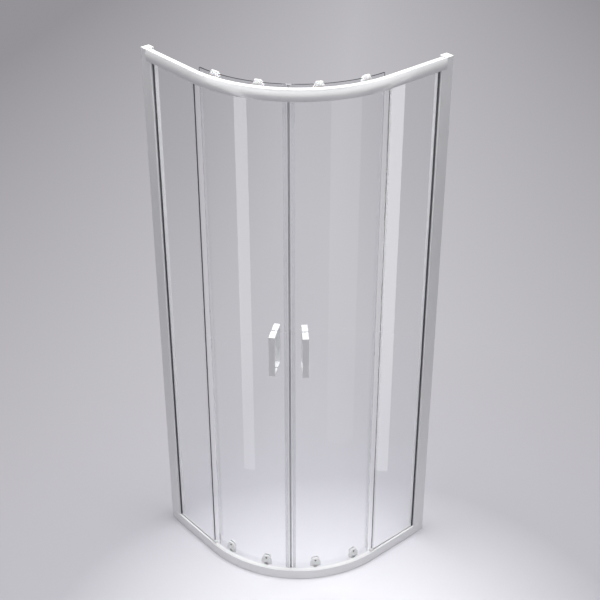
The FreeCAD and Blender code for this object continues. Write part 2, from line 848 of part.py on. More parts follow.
def magnetic_seal():
    """The clear strip on the leading edge; its head carries the magnet that meets the other door's."""
    body = new_body("magnetic_seal", turn=SEAM_ANGLE)
    edge = door_end - SEAM_ANGLE + arc_angle(d.seal_fit, reach_door)
    outline = new_sketch(body, "XY_Plane", d.door_floor_gap)
    head = d.magnet_head - d.seal_fit
    draw(outline, clip_outline(edge, d.magnet_legs, head, -1))
    pad(body, outline, door_high - d.door_floor_gap)
    return body


def trailing_seal():
    """The clear strip on the trailing edge, with a fin that closes the gap to the fixed pane."""
    body = new_body("door_trailing_seal", turn=0.0)
    edge = d.door_start - arc_angle(d.seal_fit, reach_door)
    low = d.bottom_face + d.seal_end_gap
    length = top_rail_low - d.seal_end_gap - low
    outline = new_sketch(body, "XY_Plane", low)
    draw(outline, clip_outline(edge, d.trailing_legs, d.seal_wall, 1))
    pad(body, outline, length)
    fin = new_sketch(body, "XY_Plane", low)
    start = reach_door - d.glass / 2
    side = reach_door * sine(edge)
    draw(fin, rectangle(start, reach_door + d.trailing_fin, side - d.seal_wall, side))
    pad(body, fin, length)
    return body


def flat_inside(half):
    """Reach of a flat face of a given half width that bears on the hollow inner side of the glass."""
    return root(reach_door_inner * reach_door_inner - half * half) - d.seal_fit


# ---------------------------------------------------------------------------------------------
# Wheels and roller carriages
# ---------------------------------------------------------------------------------------------
carriage_bolt = d.height - d.carriage_bolt_drop
handle_levels = [d.handle_centre + (d.handle_height - d.handle_thickness) / 2 * way for way in (-1, 1)]
axle_root = reach_door + d.carriage_thickness - d.axle_bury
wheel_inner = reach_wheel - d.wheel_width / 2
wheel_outer = reach_wheel + d.wheel_width / 2


def radial_body(name, turn, level):
    """A body whose X axis is the radial line at an angle of the circle and a level."""
    body = new_body(name, turn=turn)
    body.setExpression("Placement.Base.z", as_size(level).text)
    return body


def wheel(name, turn, level):
    """A small plastic wheel with a bore, a hub and a recess on each side."""
    body = radial_body(name, turn, level)
    bore = d.axle_radius + d.axle_fit
    rim = d.wheel_radius - d.wheel_recess * 2
    low, high = wheel_inner, wheel_outer
    outline = new_sketch(body, "XY_Plane")
    bevel = d.wheel_recess / 2
    draw(outline, [
        (low, bore), (high, bore), (high, d.wheel_hub_radius), (high - d.wheel_recess, d.wheel_hub_radius),
        (high - d.wheel_recess, rim), (high, rim), (high, d.wheel_radius - bevel),
        (high - bevel, d.wheel_radius), (low + bevel, d.wheel_radius), (low, d.wheel_radius - bevel),
        (low, rim), (low + d.wheel_recess, rim), (low + d.wheel_recess, d.wheel_hub_radius),
        (low, d.wheel_hub_radius)])
    spin(body, outline, "X_Axis")
    return keep(body, name)


def axle_outline(base):
    """Half outline of a wheel's axle from its base: shank, shoulder, journal and head."""
    shoulder = wheel_inner - d.axle_side_gap
    head = wheel_outer + d.axle_side_gap
    step = base + d.axle_bury
    return [
        (base, 0), (base, d.axle_radius), (step, d.axle_radius), (step, d.axle_shoulder_radius),
        (shoulder, d.axle_shoulder_radius), (shoulder, d.axle_radius), (head, d.axle_radius),
        (head, d.axle_head_radius), (head + d.axle_head, d.axle_head_radius), (head + d.axle_head, 0)]


def top_axle_pin(name, turn):
    body = radial_body(name, turn, top_axle)
    outline = new_sketch(body, "XY_Plane")
    draw(outline, axle_outline(axle_root))
    spin(body, outline, "X_Axis")
    return body


def carriage_outline(inset):
    """Outline of a carriage's plate, or of the raised field that lies inset from the plate's edge."""
    foot = top_axle - d.wheel_radius + inset
    knee = top_axle - d.wheel_radius + d.carriage_half - d.carriage_foot_half + d.carriage_shoulder
    shoulder = d.height - d.carriage_shoulder
    top = d.height + d.carriage_top - inset
    foot_half = d.carriage_foot_half - inset / 4
    half = d.carriage_half - inset
    top_half = d.carriage_top_half - inset / 2
    return [
        (-foot_half, foot), (foot_half, foot), (half, knee), (half, shoulder, d.carriage_waist, -1),
        (top_half, top), (-top_half, top, d.carriage_waist, -1), (-half, shoulder), (-half, knee)]


def top_carriage(name, turn):
    """The waisted plate on the glass's outer face that carries a top wheel, with a raised field and
    the boss of the adjusting screw."""
    body = new_body(name, turn=turn)
    back = reach_door + d.seal_fit
    face = reach_door + d.carriage_thickness
    plate_face = face - d.carriage_field
    outline = new_sketch(body, "YZ_Plane", back)
    draw(outline, carriage_outline(as_size(0)))
    pad(body, outline, plate_face - back)
    soften(body, "Fillet", d.carriage_rounding, lambda edge: runs_along(edge, ALONG_X))
    soften(body, "Fillet", d.carriage_edge, lambda edge: lies_at(edge, "x", plate_face))
    field = new_sketch(body, "YZ_Plane", plate_face)
    draw(field, carriage_outline(d.carriage_rim))
    pad(body, field, d.carriage_field)
    soften(body, "Fillet", d.carriage_rounding / 2, lambda edge: runs_along(edge, ALONG_X) and
           edge.BoundBox.XMin > plate_face.value - SAME_PLACE)
    soften(body, "Chamfer", d.carriage_field / 2, lambda edge: lies_at(edge, "x", face))
    screw_level = d.height + d.carriage_top - d.dot_drop
    boss = new_sketch(body, "YZ_Plane", face)
    draw_circle(boss, 0, screw_level, d.boss_radius)
    pad(body, boss, d.boss_stand)
    dot = new_sketch(body, "YZ_Plane", face + d.boss_stand)
    draw_circle(dot, 0, screw_level, d.dot_radius)
    pocket(body, dot, d.dot_depth + d.boss_stand)
    bolt_hole = new_sketch(body, "YZ_Plane", back)
    draw_circle(bolt_hole, 0, carriage_bolt, d.bolt_radius + d.bolt_fit)
    pocket(body, bolt_hole, face - back - d.carriage_skin, reverse=True)
    axle_hole = new_sketch(body, "YZ_Plane", face)
    draw_circle(axle_hole, 0, top_axle, d.axle_radius + d.axle_fit)
    pocket(body, axle_hole, d.axle_bury)
    return body


def inner_cap(name, turn, level, radius):
    """The round cap on the glass's inner face that the carriage's bolt pulls against."""
    body = radial_body(name, turn, level)
    face = flat_inside(radius)
    end = face - d.cap_thickness
    bury = end + d.cap_skin
    hole = d.bolt_radius + d.bolt_fit
    outline = new_sketch(body, "XY_Plane")
    draw(outline, [
        (face, hole), (face, radius), (end + d.cap_rounding, radius, d.cap_rounding, 1),
        (end, radius - d.cap_rounding), (end, 0), (bury, 0), (bury, hole)])
    spin(body, outline, "X_Axis")
    return body


def carriage_bolt_pin(name, turn, level, radius, outer_end):
    """The bolt through the glass, from an inner cap of a given radius to the carriage."""
    body = radial_body(name, turn, level)
    start = flat_inside(radius) - d.cap_thickness + d.cap_skin
    outline = new_sketch(body, "YZ_Plane", start)
    draw_circle(outline, 0, 0, d.bolt_radius)
    pad(body, outline, outer_end - start)
    return body


housing_face = reach_door + d.housing_thickness
slider_back = reach_door + d.pocket_wall + d.slider_gap
slider_front = housing_face - d.pocket_wall - d.slider_gap


def bottom_housing(name, turn):
    """The domed housing on the glass's outer face, with a pocket that the release slider runs in."""
    body = new_body(name, turn=turn)
    back = reach_door + d.seal_fit
    lean = d.housing_half - d.housing_top_half
    rise = d.housing_top - d.housing_shoulder
    bow = (lean * lean + rise * rise) / (lean * 2)
    outline = new_sketch(body, "YZ_Plane", back)
    draw(outline, [
        (-d.housing_half, d.housing_low), (d.housing_half, d.housing_low),
        (d.housing_half, d.housing_shoulder, bow, 1), (d.housing_top_half, d.housing_top),
        (-d.housing_top_half, d.housing_top, bow, 1), (-d.housing_half, d.housing_shoulder)])
    pad(body, outline, housing_face - back)
    soften(body, "Fillet", d.carriage_rounding,
           lambda edge: runs_along(edge, ALONG_X) and lies_at(edge, "z", d.housing_top))
    soften(body, "Fillet", d.housing_edge,
           lambda edge: lies_at(edge, "x", housing_face) and not lies_at(edge, "z", d.housing_low))
    pocket_half = d.slider_half + d.slider_gap
    slot = new_sketch(body, "XY_Plane", d.housing_low)
    draw(slot, rectangle(reach_door + d.pocket_wall, housing_face - d.pocket_wall, -pocket_half, pocket_half))
    pocket(body, slot, d.pocket_top - d.housing_low, reverse=True)
    seat = new_sketch(body, "YZ_Plane", reach_door + d.pocket_wall)
    seat_half = d.window_half - d.slider_gap
    draw(seat, rectangle(-seat_half, seat_half, d.spring_seat_low, d.spring_seat_top))
    pad(body, seat, slider_front - d.slider_gap - reach_door - d.pocket_wall)
    button_slot = new_sketch(body, "YZ_Plane", housing_face)
    slot_half = d.button_half + d.slider_gap
    draw(button_slot, rectangle(-slot_half, slot_half, d.button_low - d.slider_travel - d.slider_gap,
                                d.button_high + d.slider_gap))
    pocket(body, button_slot, d.pocket_wall)
    bolt_hole = new_sketch(body, "YZ_Plane", housing_face)
    draw_circle(bolt_hole, 0, d.housing_bolt, d.bolt_radius + d.bolt_fit)
    pocket(body, bolt_hole, d.housing_thickness)
    return body


def slider(name, turn):
    """The sprung slider that carries a lower wheel; pressing its button down frees the wheel from
    behind the bottom rail's lip.  Its levels are measured from the wheel's axle."""
    body = radial_body(name, turn, bottom_axle)
    plate = new_sketch(body, "YZ_Plane", slider_back)
    top = d.pocket_top - d.slider_gap - bottom_axle
    foot = -d.slider_foot
    draw(plate, rectangle(-d.slider_half, d.slider_half, foot, top))
    draw(plate, rectangle(-d.window_half, d.window_half, d.window_low - bottom_axle,
                          d.window_top - bottom_axle))
    pad(body, plate, slider_front - slider_back)
    soften(body, "Fillet", d.carriage_rounding,
           lambda edge: runs_along(edge, ALONG_X) and edge.BoundBox.ZMax < 0)
    button = new_sketch(body, "YZ_Plane", slider_front)
    draw(button, rectangle(-d.button_half, d.button_half, d.button_low - bottom_axle,
                           d.button_high - bottom_axle))
    pad(body, button, housing_face + d.button_stand - slider_front)
    stub = new_sketch(body, "XY_Plane")
    draw(stub, axle_outline(slider_front - d.axle_bury))
    spin(body, stub, "X_Axis")
    return keep(body, name)


def spring(name, turn):
    """The compression spring between the housing's seat and the slider's window."""
    wire = d.spring_wire
    low = d.spring_seat_top + wire
    high = d.window_top - wire
    rise = high.value - low.value
    coil = Part.makeHelix(rise / d.spring_turns.value, rise, d.spring_radius.value)
    start = Part.Circle(Vector(d.spring_radius.value, 0, 0), Vector(0, 1, 0), wire.value)
    wire_section = Part.Wire([Part.Edge(start)])
    tube = Part.Wire(coil.Edges).makePipeShell([wire_section], True, True)
    item = document.addObject("Part::Feature", name)
    item.Shape = tube
    reach = (slider_back + slider_front) / 2
    angle = math.radians(turn.value - QUARTER_TURN)
    place = Vector(centre_x.value + reach.value * math.cos(angle),
                   centre_y.value + reach.value * math.sin(angle), low.value)
    item.Placement = Placement(place, Rotation(Vector(0, 0, 1), turn.value - QUARTER_TURN))
    return keep(item, name)


# ---------------------------------------------------------------------------------------------
# Handles
# ---------------------------------------------------------------------------------------------
outer_handle_base = reach_door + d.handle_pad
inner_handle_base = flat_inside(d.handle_width / 2) - d.handle_pad


def handle(name, base, way):
    """A pull bent from a flat bar: two arms and a grip.  The way is +1 outwards, -1 inwards."""
    body = new_body(name, turn=d.handle_angle)
    low = d.handle_centre - d.handle_height / 2
    high = d.handle_centre + d.handle_height / 2
    end = base + (d.handle_reach - d.handle_pad) * way
    grip = end - d.handle_thickness * way
    outline = new_sketch(body, "XZ_Plane", -(d.handle_width / 2))
    draw(outline, [
        (base, low), (end, low), (end, high), (base, high), (base, high - d.handle_thickness),
        (grip, high - d.handle_thickness), (grip, low + d.handle_thickness),
        (base, low + d.handle_thickness)])
    pad(body, outline, d.handle_width)
    soften(body, "Fillet", d.handle_rounding, lambda edge: lies_at(edge, "x", end))
    studs = new_sketch(body, "YZ_Plane", base)
    for level in handle_levels:
        draw_circle(studs, 0, level, d.stud_radius + d.stud_fit)
    pocket(body, studs, d.stud_bury + d.stud_fit, reverse=way > 0)
    return body


def handle_pads(name, base):
    """The thin pads between a handle's arms and the glass."""
    pads = []
    for number, level in enumerate(handle_levels):
        body = new_body(f"{name}_{number}", turn=d.handle_angle)
        outline = new_sketch(body, "YZ_Plane", base)
        half_width, half_height = d.handle_width / 2, d.handle_thickness / 2
        draw(outline, rectangle(-half_width, half_width, level - half_height, level + half_height))
        draw_circle(outline, 0, level, d.stud_radius + d.stud_fit)
        pad(body, outline, d.handle_pad - d.seal_fit)
        pads.append(body)
    return pads


def handle_studs():
    """The threaded studs that join the two handles of a door through the glass."""
    studs = []
    start = inner_handle_base - d.stud_bury
    length = outer_handle_base + d.stud_bury - start
    for number, level in enumerate(handle_levels):
        body = radial_body(f"handle_stud_{number}", d.handle_angle, level)
        outline = new_sketch(body, "YZ_Plane", start)
        draw_circle(outline, 0, 0, d.stud_radius)
        pad(body, outline, length)
        studs.append(body)
    return studs


# ---------------------------------------------------------------------------------------------
# Assembly
# ---------------------------------------------------------------------------------------------
def build_frame():
    keep_pair(wall_profile(), "wall_profile")
    keep_pair(post(), "post")
    on_both_sides("wall_profile_caps", [profile_cap()])
    on_both_sides("corner_keys", [corner_key("lower_key", d.bottom_face),
                                  corner_key("upper_key", top_rail_low - d.key_height)])
    on_both_sides("rail_screws", [upright_screw("lower_rail_screw", web_low, -1),
                                  upright_screw("upper_rail_screw", ledge_top, 1)])
    on_both_sides("profile_screws", [profile_screw(f"profile_screw_{row}", row) for row in SCREW_ROWS])
    keep(top_rail(), "top_rail")
    keep(bottom_rail(), "bottom_rail")
    keep(bottom_infill(), "bottom_rail_infill")
    on_both_sides("door_stops", [door_stop()])


def build_fixed_panes():
    keep_pair(fixed_glass(), "fixed_glass")
    on_both_sides("glazing_gaskets", [glazing_gasket()])
    on_both_sides("rail_glazing", [rail_glazing("lower_rail_glazing", groove_floor, d.bottom_face),
                                   rail_glazing("upper_rail_glazing", ledge_low, top_rail_low)])
    on_both_sides("fixed_edge_seals", [edge_seal()])
    on_both_sides("glass_end_clips", [end_clip()])


def pair_of_groups(name, items):
    group = document.addObject("Part::Compound", name)
    group.Links = items
    keep_pair(group, name)


def build_doors():
    keep_pair(door_glass(), "door_glass")
    keep_pair(magnetic_seal(), "magnetic_seal")
    keep_pair(trailing_seal(), "door_trailing_seal")
    keep_pair(handle("outer_handle", outer_handle_base, 1), "outer_handle")
    keep_pair(handle("inner_handle", inner_handle_base, -1), "inner_handle")
    outer_pads = handle_pads("outer_pad", reach_door + d.seal_fit)
    inner_pads = handle_pads("inner_pad", inner_handle_base)
    pair_of_groups("handle_pads", outer_pads + inner_pads)
    pair_of_groups("handle_studs", handle_studs())


def build_carriages():
    places = {"rear": d.rear_angle, "front": d.front_angle}
    carriages = [top_carriage(f"top_carriage_{place}", turn) for place, turn in places.items()]
    pair_of_groups("top_carriages", carriages)
    pins = [top_axle_pin(f"top_axle_{place}", turn) for place, turn in places.items()]
    pair_of_groups("top_axles", pins)
    caps = [inner_cap(f"top_cap_{place}", turn, carriage_bolt, d.cap_radius)
            for place, turn in places.items()]
    pair_of_groups("top_inner_caps", caps)
    housings = [bottom_housing(f"bottom_housing_{place}", turn) for place, turn in places.items()]
    pair_of_groups("bottom_housings", housings)
    lower_caps = [inner_cap(f"bottom_cap_{place}", turn, d.housing_bolt, d.bottom_cap_radius)
                  for place, turn in places.items()]
    pair_of_groups("bottom_inner_caps", lower_caps)
    top_end = reach_door + d.carriage_thickness - d.carriage_skin - d.bolt_fit
    bottom_end = housing_face - d.dot_depth
    bolts = []
    for place, turn in places.items():
        bolts.append(carriage_bolt_pin(f"top_bolt_{place}", turn, carriage_bolt, d.cap_radius, top_end))
        bolts.append(carriage_bolt_pin(f"bottom_bolt_{place}", turn, d.housing_bolt,
                                       d.bottom_cap_radius, bottom_end))
    pair_of_groups("carriage_bolts", bolts)
    for place, turn in places.items():
        build_runners(place, turn)


def build_runners(place, turn):
    """The wheels, the slider and the spring at one place of each door."""
    for name, piece in (
            ("top_wheel", wheel(f"top_wheel_left_{place}", turn, top_axle)),
            ("bottom_wheel", wheel(f"bottom_wheel_left_{place}", turn, bottom_axle)),
            ("release_slider", slider(f"release_slider_left_{place}", turn)),
            ("slider_spring", spring(f"slider_spring_left_{place}", turn))):
        label = f"{name}_right_{place}"
        keep(mirrored(piece, label), label)


def check_and_export():
    document.recompute()
    for item in document.Objects:
        if "Invalid" in item.State or "Error" in item.State:
            raise RuntimeError(f"{item.Label}: {item.State}")
    os.makedirs("parts", exist_ok=True)
    for item in kept:
        if item.Shape.isNull() or not item.Shape.isValid():
            raise RuntimeError(f"{item.Label}: no valid shape")
        item.Shape.exportStep(f"parts/{item.Label}.step")
    print(f"{len(kept)} sub-parts written")


build_frame()
build_fixed_panes()
build_doors()
build_carriages()
check_and_export()
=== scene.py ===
import json
import math

import bmesh
import bpy
from bpy.props import FloatProperty, FloatVectorProperty, IntProperty, PointerProperty
from bpy.types import Operator, Panel, PropertyGroup
from mathutils import Matrix, Vector


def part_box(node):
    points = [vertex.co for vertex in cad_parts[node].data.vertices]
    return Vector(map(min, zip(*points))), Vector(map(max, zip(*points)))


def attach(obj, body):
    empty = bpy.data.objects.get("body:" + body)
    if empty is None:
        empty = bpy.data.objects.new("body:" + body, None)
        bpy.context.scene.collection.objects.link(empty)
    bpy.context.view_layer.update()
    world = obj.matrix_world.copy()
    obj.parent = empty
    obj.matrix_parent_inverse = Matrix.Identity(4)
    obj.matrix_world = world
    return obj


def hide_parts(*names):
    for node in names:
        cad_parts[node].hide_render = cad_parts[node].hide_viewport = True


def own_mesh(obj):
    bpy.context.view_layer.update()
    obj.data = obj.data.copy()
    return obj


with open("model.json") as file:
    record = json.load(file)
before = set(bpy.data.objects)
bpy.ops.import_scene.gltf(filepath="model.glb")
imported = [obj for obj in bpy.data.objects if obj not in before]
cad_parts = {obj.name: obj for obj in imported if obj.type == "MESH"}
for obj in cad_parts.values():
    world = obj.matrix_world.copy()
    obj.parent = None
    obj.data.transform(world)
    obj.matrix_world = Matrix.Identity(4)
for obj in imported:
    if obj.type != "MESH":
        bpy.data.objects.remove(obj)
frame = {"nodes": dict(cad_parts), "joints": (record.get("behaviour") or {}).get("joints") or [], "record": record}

bl_info = {
    "name": "Quadrant Shower Enclosure",
    "version": (1, 0, 0),
    "blender": (4, 5, 0),
    "location": "3D View > Sidebar > Enclosure",
    "description": "Dresses the enclosure's frame with finished rails, glass, seals, rollers and handles",
    "category": "Object",
}

# Pieces are modelled about the centre of the quarter circle, with Z up, as those of the left half, and
# the right half is mirrored.  A door's piece starts at the angle 0, facing -Y, and is then turned to its
# place.  "Reach" is the distance from that centre, and "level" the height above the floor.
SIDES = ("left", "right")
SPOTS = ("rear", "front")
HALF_SIDE = -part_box("wall_profile_left")[0].x
(RAIL_START, _, TOP_RAIL_LOW), (_, _, HEIGHT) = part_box("top_rail")
DOOR_LOW, DOOR_HIGH = (corner.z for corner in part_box("door_glass_left"))
BOTTOM_RAIL_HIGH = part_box("bottom_rail")[1].z
SEAM_ANGLE = 45.0
QUARTER_TURN = 90.0
UP = (0, 0, 1)
# Mirrors the left half onto the right one, across the seam
CROSS = Matrix(((0, -1, 0, 0), (-1, 0, 0, 0), (0, 0, 1, 0), (0, 0, 0, 1)))

# Points nearer than this are one, or count as in place
WELD = 1e-6
NEAR = 1e-5

# Fineness of the meshes
SHARP = math.radians(32)
EVEN_WEIGHT = 80
ROUND_STEPS = 4
COVER_STEPS = 6
HOLE_SEGMENTS = 40
WIRE_SEGMENTS = 12
FLOOR_SEGMENTS = 128

# How a pane's sides are told from its edges: the least part of a normal, and the least area in m2
SIDE_FACING = 0.9
END_AREA = 0.0005

# Shares of the size that each one shapes
CORNER_LEAN = 0.35
HOLE_MARGIN = 1.5
BOSS_BEVEL = 0.2
SOCKET_BEVEL = 0.15
PAN_HEAD = ((0.0, 1.0), (0.45, 0.97), (0.75, 0.82), (0.93, 0.5), (1.0, 0.12), (0.98, 0.0))

MAGNET_PLAY = 0.00004
MAGNET_END = 0.002
SCREW_TURN = 27.0


# Settings, with their descriptions and values
def length(text, default):
    return FloatProperty(description=text, default=default, min=0.0, precision=5, unit="LENGTH")


def number(text, default):
    return FloatProperty(description=text, default=default, precision=2)


def share(text, default):
    return FloatProperty(description=text, default=default, min=0.0, max=1.0, subtype="FACTOR")


def count(text, default):
    return IntProperty(description=text, default=default, min=1)


def point(text, default):
    return FloatVectorProperty(description=text, default=default, subtype="TRANSLATION", unit="LENGTH")


def colour(text, default):
    return FloatVectorProperty(description=text, default=default, min=0.0, max=1.0, subtype="COLOR")


class RailSettings(PropertyGroup):
    """Sizes of the two bent rails."""

    radius: length("Reach of the top rail's outer line", 0.435)
    crown: length("Bow of the top rail's face", 0.0035)
    corner: length("Rounding of the upper outer corner", 0.0025)
    wall: length("Wall of the extruded rails", 0.0016)
    depth: length("Width of the rails from the face to the mouth", 0.020)
    track: length("Height of the rail above its ledge", 0.0286)
    lip_width: length("Thickness of the wheels' lip", 0.0013)
    lip_height: length("Height of the wheels' lip", 0.0022)
    set_in: length("From the top rail's face in to the bottom one's", 0.002)
    groove: length("Depth of the bottom rail's glazing groove", 0.007)
    fixed_inset: length("From the rail's face to a fixed pane", 0.011)
    gasket: length("Space on each side of a fixed pane", 0.0012)
    softness: length("Rounding of the sharp corners", 0.0003)
    brow: length("Rounding of the bottom rail's upper edge", 0.001)
    foot: length("Rounding of the bottom rail's lower edge", 0.0022)
    driver_hole: length("Radius of the holes over the screws", 0.0045)
    screw_place: length("From the wall to the rail screws", 0.0335)
    infill_gap: length("Space beside the drip strip", 0.0002)
    bend_steps: count("Divisions of the quarter circle", 90)
    crown_steps: count("Divisions of the bowed face", 10)


class GlassSettings(PropertyGroup):
    """Sizes of the panes."""

    thickness: length("Thickness of every pane", 0.005)
    door_inset: length("From the rail's face to a door pane", 0.032)
    arris: length("Chamfer of the polished edges", 0.0004)
    start: number("Angle where a door pane starts", 0.5)
    bolt_hole: length("Radius of the bolts' holes", 0.0045)
    bolt_drop: length("From the top of the rail to the upper bolts", 0.008)
    bolt_level: length("Level of the lower bolts", 0.066)
    stud_hole: length("Radius of the handles' holes", 0.003)
    steps: count("Divisions of a door pane", 72)


class SealSettings(PropertyGroup):
    """Sizes of the magnetic strips between the doors."""

    fit: length("Play between a strip and the glass", 0.00005)
    wall: length("Wall of a strip", 0.0011)
    head: length("Length of the head past the glass", 0.008)
    legs: length("Length of the legs on the glass", 0.011)
    gap: length("Gap between the two doors' strips", 0.0003)
    rounding: length("Rounding of the strip's corners", 0.0005)
    magnet_width: length("Width of the magnet along the seam", 0.0024)
    magnet_depth: length("Depth of the magnet through the strip", 0.0052)
    magnet_cover: length("Plastic over the magnet at the seam", 0.0005)


class RollerSettings(PropertyGroup):
    """Sizes of the covers of the upper rollers."""

    half: length("Half of a cover's width", 0.020)
    foot_half: length("Half width at the wheel's foot", 0.010)
    top_half: length("Half width of the top", 0.011)
    top: length("Height of the top above the rail", 0.015)
    shoulder: length("From the rail's top to the leaning sides", 0.004)
    waist: length("How far the sides are drawn in", 0.0014)
    plate: length("Thickness of the cover's plate", 0.00505)
    field: length("Height of the raised field", 0.0014)
    rim: length("Rim round the raised field", 0.0030)
    rounding: length("Rounding of the outline's corners", 0.004)
    edge: length("Rounding of the cover's front edge", 0.0012)
    boss: length("Radius of the screw's boss", 0.0046)
    boss_height: length("Height of the boss", 0.0007)
    socket: length("Radius of the screw's socket", 0.0021)
    socket_depth: length("Depth of the screw's socket", 0.0026)
    screw_drop: length("From the cover's top to the screw", 0.008)


class HousingSettings(PropertyGroup):
    """Sizes of the housings of the lower rollers."""

    half: length("Half of a housing's width", 0.019)
    top_half: length("Half width of the top", 0.008)
    shoulder: length("Level where the sides start to lean", 0.052)
    thickness: length("From the glass to the housing's face", 0.008)
    rounding: length("Rounding of the top's corners", 0.0015)
    edge: length("Rounding of the face's edge", 0.003)
    pocket_wall: length("Wall round the slider's pocket", 0.0013)
    pocket_half: length("Half width of the slider's pocket", 0.0078)
    pocket_top: length("Level of the pocket's top", 0.058)
    slot_half: length("Half width of the button's slot", 0.0043)
    slot_low: length("Level of the slot's lower end", 0.0427)
    slot_high: length("Level of the slot's upper end", 0.0538)
    lean: share("Lean of the face, for its height", 0.1)
    eye: length("Radius of the recess round the bolt", 0.0036)
    eye_depth: length("Depth of the recess round the bolt", 0.0036)


class SpringSettings(PropertyGroup):
    """Sizes of the springs behind the release sliders."""

    wire: length("Radius of the wire", 0.00035)
    radius: length("Radius to the middle of the wire", 0.0016)
    turns: count("Turns of the coil", 5)
    steps: count("Divisions of one turn", 28)
    seat: length("Level of the spring's seat", 0.045)
    pressed: share("Share of the height left when pressed", 0.48)


class HandleSettings(PropertyGroup):
    """Sizes of the bow handles."""

    place: number("Angle of the left door's handles", 37.7)
    bar: length("Thickness of the bar", 0.007)
    width: length("Width of the bar", 0.021)
    softness: length("Rounding of the bar's edges", 0.0008)
    bend: length("Rounding of the bar's outer corners", 0.0014)


class ScrewSettings(PropertyGroup):
    """Sizes of the channel screws."""

    head: length("Radius of the pan head", 0.0039)
    head_height: length("Height of the pan head", 0.0024)
    shank: length("Radius of the shank", 0.0019)
    shank_length: length("Length of the shank", 0.009)
    recess: length("Half length of the cross recess", 0.0021)
    recess_width: length("Half width of the cross recess", 0.0005)
    recess_depth: length("Depth of the cross recess", 0.0015)
    set_in: length("From the wall to the screws", 0.019)
    margin: length("From the rails' ends to the outer screws", 0.240)
    profile_reach: length("Reach of the channel's inner side", 0.4005)
    rows: count("Screws in each channel", 3)


class FinishSettings(PropertyGroup):
    """Colours of the finishes."""

    powder_coat: colour("Gloss white on the aluminium", (0.86, 0.86, 0.865))
    moulding: colour("Gloss white plastic", (0.92, 0.92, 0.92))
    nylon: colour("Natural nylon of the wheels", (0.80, 0.80, 0.77))
    vinyl: colour("Clear vinyl of the seals", (0.86, 0.87, 0.91))
    rubber: colour("Dark glazing rubber", (0.075, 0.075, 0.085))
    magnet: colour("Magnet strips in the seals", (0.30, 0.30, 0.33))
    steel: colour("Stainless steel", (0.56, 0.56, 0.58))
    # Steel darkened as painted shade: it shades the carriage bolts in their recesses and the covers' screw sockets
    dark_steel: colour("Blackened screws", (0.11, 0.11, 0.12))
    glass: colour("Tint of the panes", (0.92, 0.925, 0.935))
    glass_edge: colour("Polished edges of the panes", (0.025, 0.03, 0.034))


class StageSettings(PropertyGroup):
    """The camera, the floor and the lamps."""

    camera_place: point("Where the camera stands", (2.892, -2.466, 3.395))
    camera_heading: number("Turn of the camera about the upright", 49.35)
    camera_pitch: number("Tilt of the camera, downwards", 31.87)
    camera_roll: number("Roll of the camera", 0.0)
    lens: number("Focal length in millimetres", 76.38)
    # The floor's tones and reaches below paint light: a painted pool of light before the enclosure, fading into a
    # painted dimmer tone round it, which is also painted shade on the floor inside
    floor_near: colour("The floor before the enclosure", (0.95, 0.94, 0.98))
    floor_round: colour("The floor round the enclosure", (0.57, 0.56, 0.60))
    # The far tones are painted brightness on the backdrop: darker towards the sides of the view, paler along its
    # middle
    far_dark: colour("The far floor at the sides", (0.30, 0.29, 0.31))
    far_pale: colour("The far floor behind the enclosure", (0.70, 0.69, 0.725))
    near_reach: length("Reach of the pale floor", 0.45)
    round_reach: length("Where the pale floor has faded", 1.1)
    far_reach: length("Where the far floor starts", 2.2)
    floor_middle: point("Middle of the pale floor", (0.72, -0.42, 0.0))
    floor_size: length("Radius of the floor", 40.0)


GROUPS = dict(
    rails=RailSettings, glass=GlassSettings, seals=SealSettings, rollers=RollerSettings,
    housings=HousingSettings, springs=SpringSettings, handles=HandleSettings, screws=ScrewSettings,
    finishes=FinishSettings, stage=StageSettings)
# Every setting is named after its key
for group in GROUPS.values():
    for key, item in group.__annotations__.items():
        item.keywords["name"] = key.replace("_", " ").capitalize()


class EnclosureSettings(PropertyGroup):
    """Everything that can be set."""

    __annotations__ = {name: PointerProperty(type=group) for name, group in GROUPS.items()}


def settings():
    return bpy.context.scene.enclosure


# Steps of the build, shown as buttons
STEPS = []


def step(work):
    """Make an operator of a function, in the order in which the steps run."""
    def execute(self, context):
        work()
        return {"FINISHED"}

    name = work.__name__.removeprefix("make_")
    STEPS.append(type(f"ENCLOSURE_OT_{name}", (Operator,), {
        "__doc__": work.__doc__, "bl_idname": f"enclosure.{name}", "bl_label": name.capitalize(),
        "execute": execute}))
    return work


# Finishes
class Wire:
    """A number on its way through a node tree, with arithmetic."""

    def __init__(self, nodes, socket):
        self.nodes = nodes
        self.socket = socket

    def sum(self, operation, other):
        return self.nodes.node("Math", {0: self, 1: other}, operation=operation)

    def __add__(self, other):
        return self.sum("ADD", other)

    def __sub__(self, other):
        return self.sum("SUBTRACT", other)

    def __mul__(self, other):
        return self.sum("MULTIPLY", other)

    def __truediv__(self, other):
        return self.sum("DIVIDE", other)

    def clipped(self):
        return self.nodes.node("Clamp", {"Value": self})


class Nodes:
    """The node tree of a material, a lamp or the world, built node by node."""

    def __init__(self, owner, output):
        owner.use_nodes = True
        self.tree = owner.node_tree
        self.tree.nodes.clear()
        self.output = self.tree.nodes.new(f"ShaderNodeOutput{output}")

    def node(self, kind, inputs=None, result=0, **options):
        """Add a node, set its options and then its sockets, and give back one of its outputs."""
        item = self.tree.nodes.new(f"ShaderNode{kind}")
        for key, value in options.items():
            setattr(item, key, value)
        for key, value in (inputs or {}).items():
            if isinstance(value, Wire):
                self.tree.links.new(value.socket, item.inputs[key])
            elif item.inputs[key].type == "RGBA":
                item.inputs[key].default_value = (*value, 1.0)
            else:
                item.inputs[key].default_value = value
        return Wire(self, item.outputs[result])

    def ray(self, kind):
        """One for the rays of a kind."""
        return self.node("LightPath", result=f"Is {kind} Ray")

    def mixed(self, factor, first, second):
        return self.node("MixShader", {0: factor, 1: first, 2: second})

    def finish(self, shader):
        self.tree.links.new(shader.socket, self.output.inputs["Surface"])


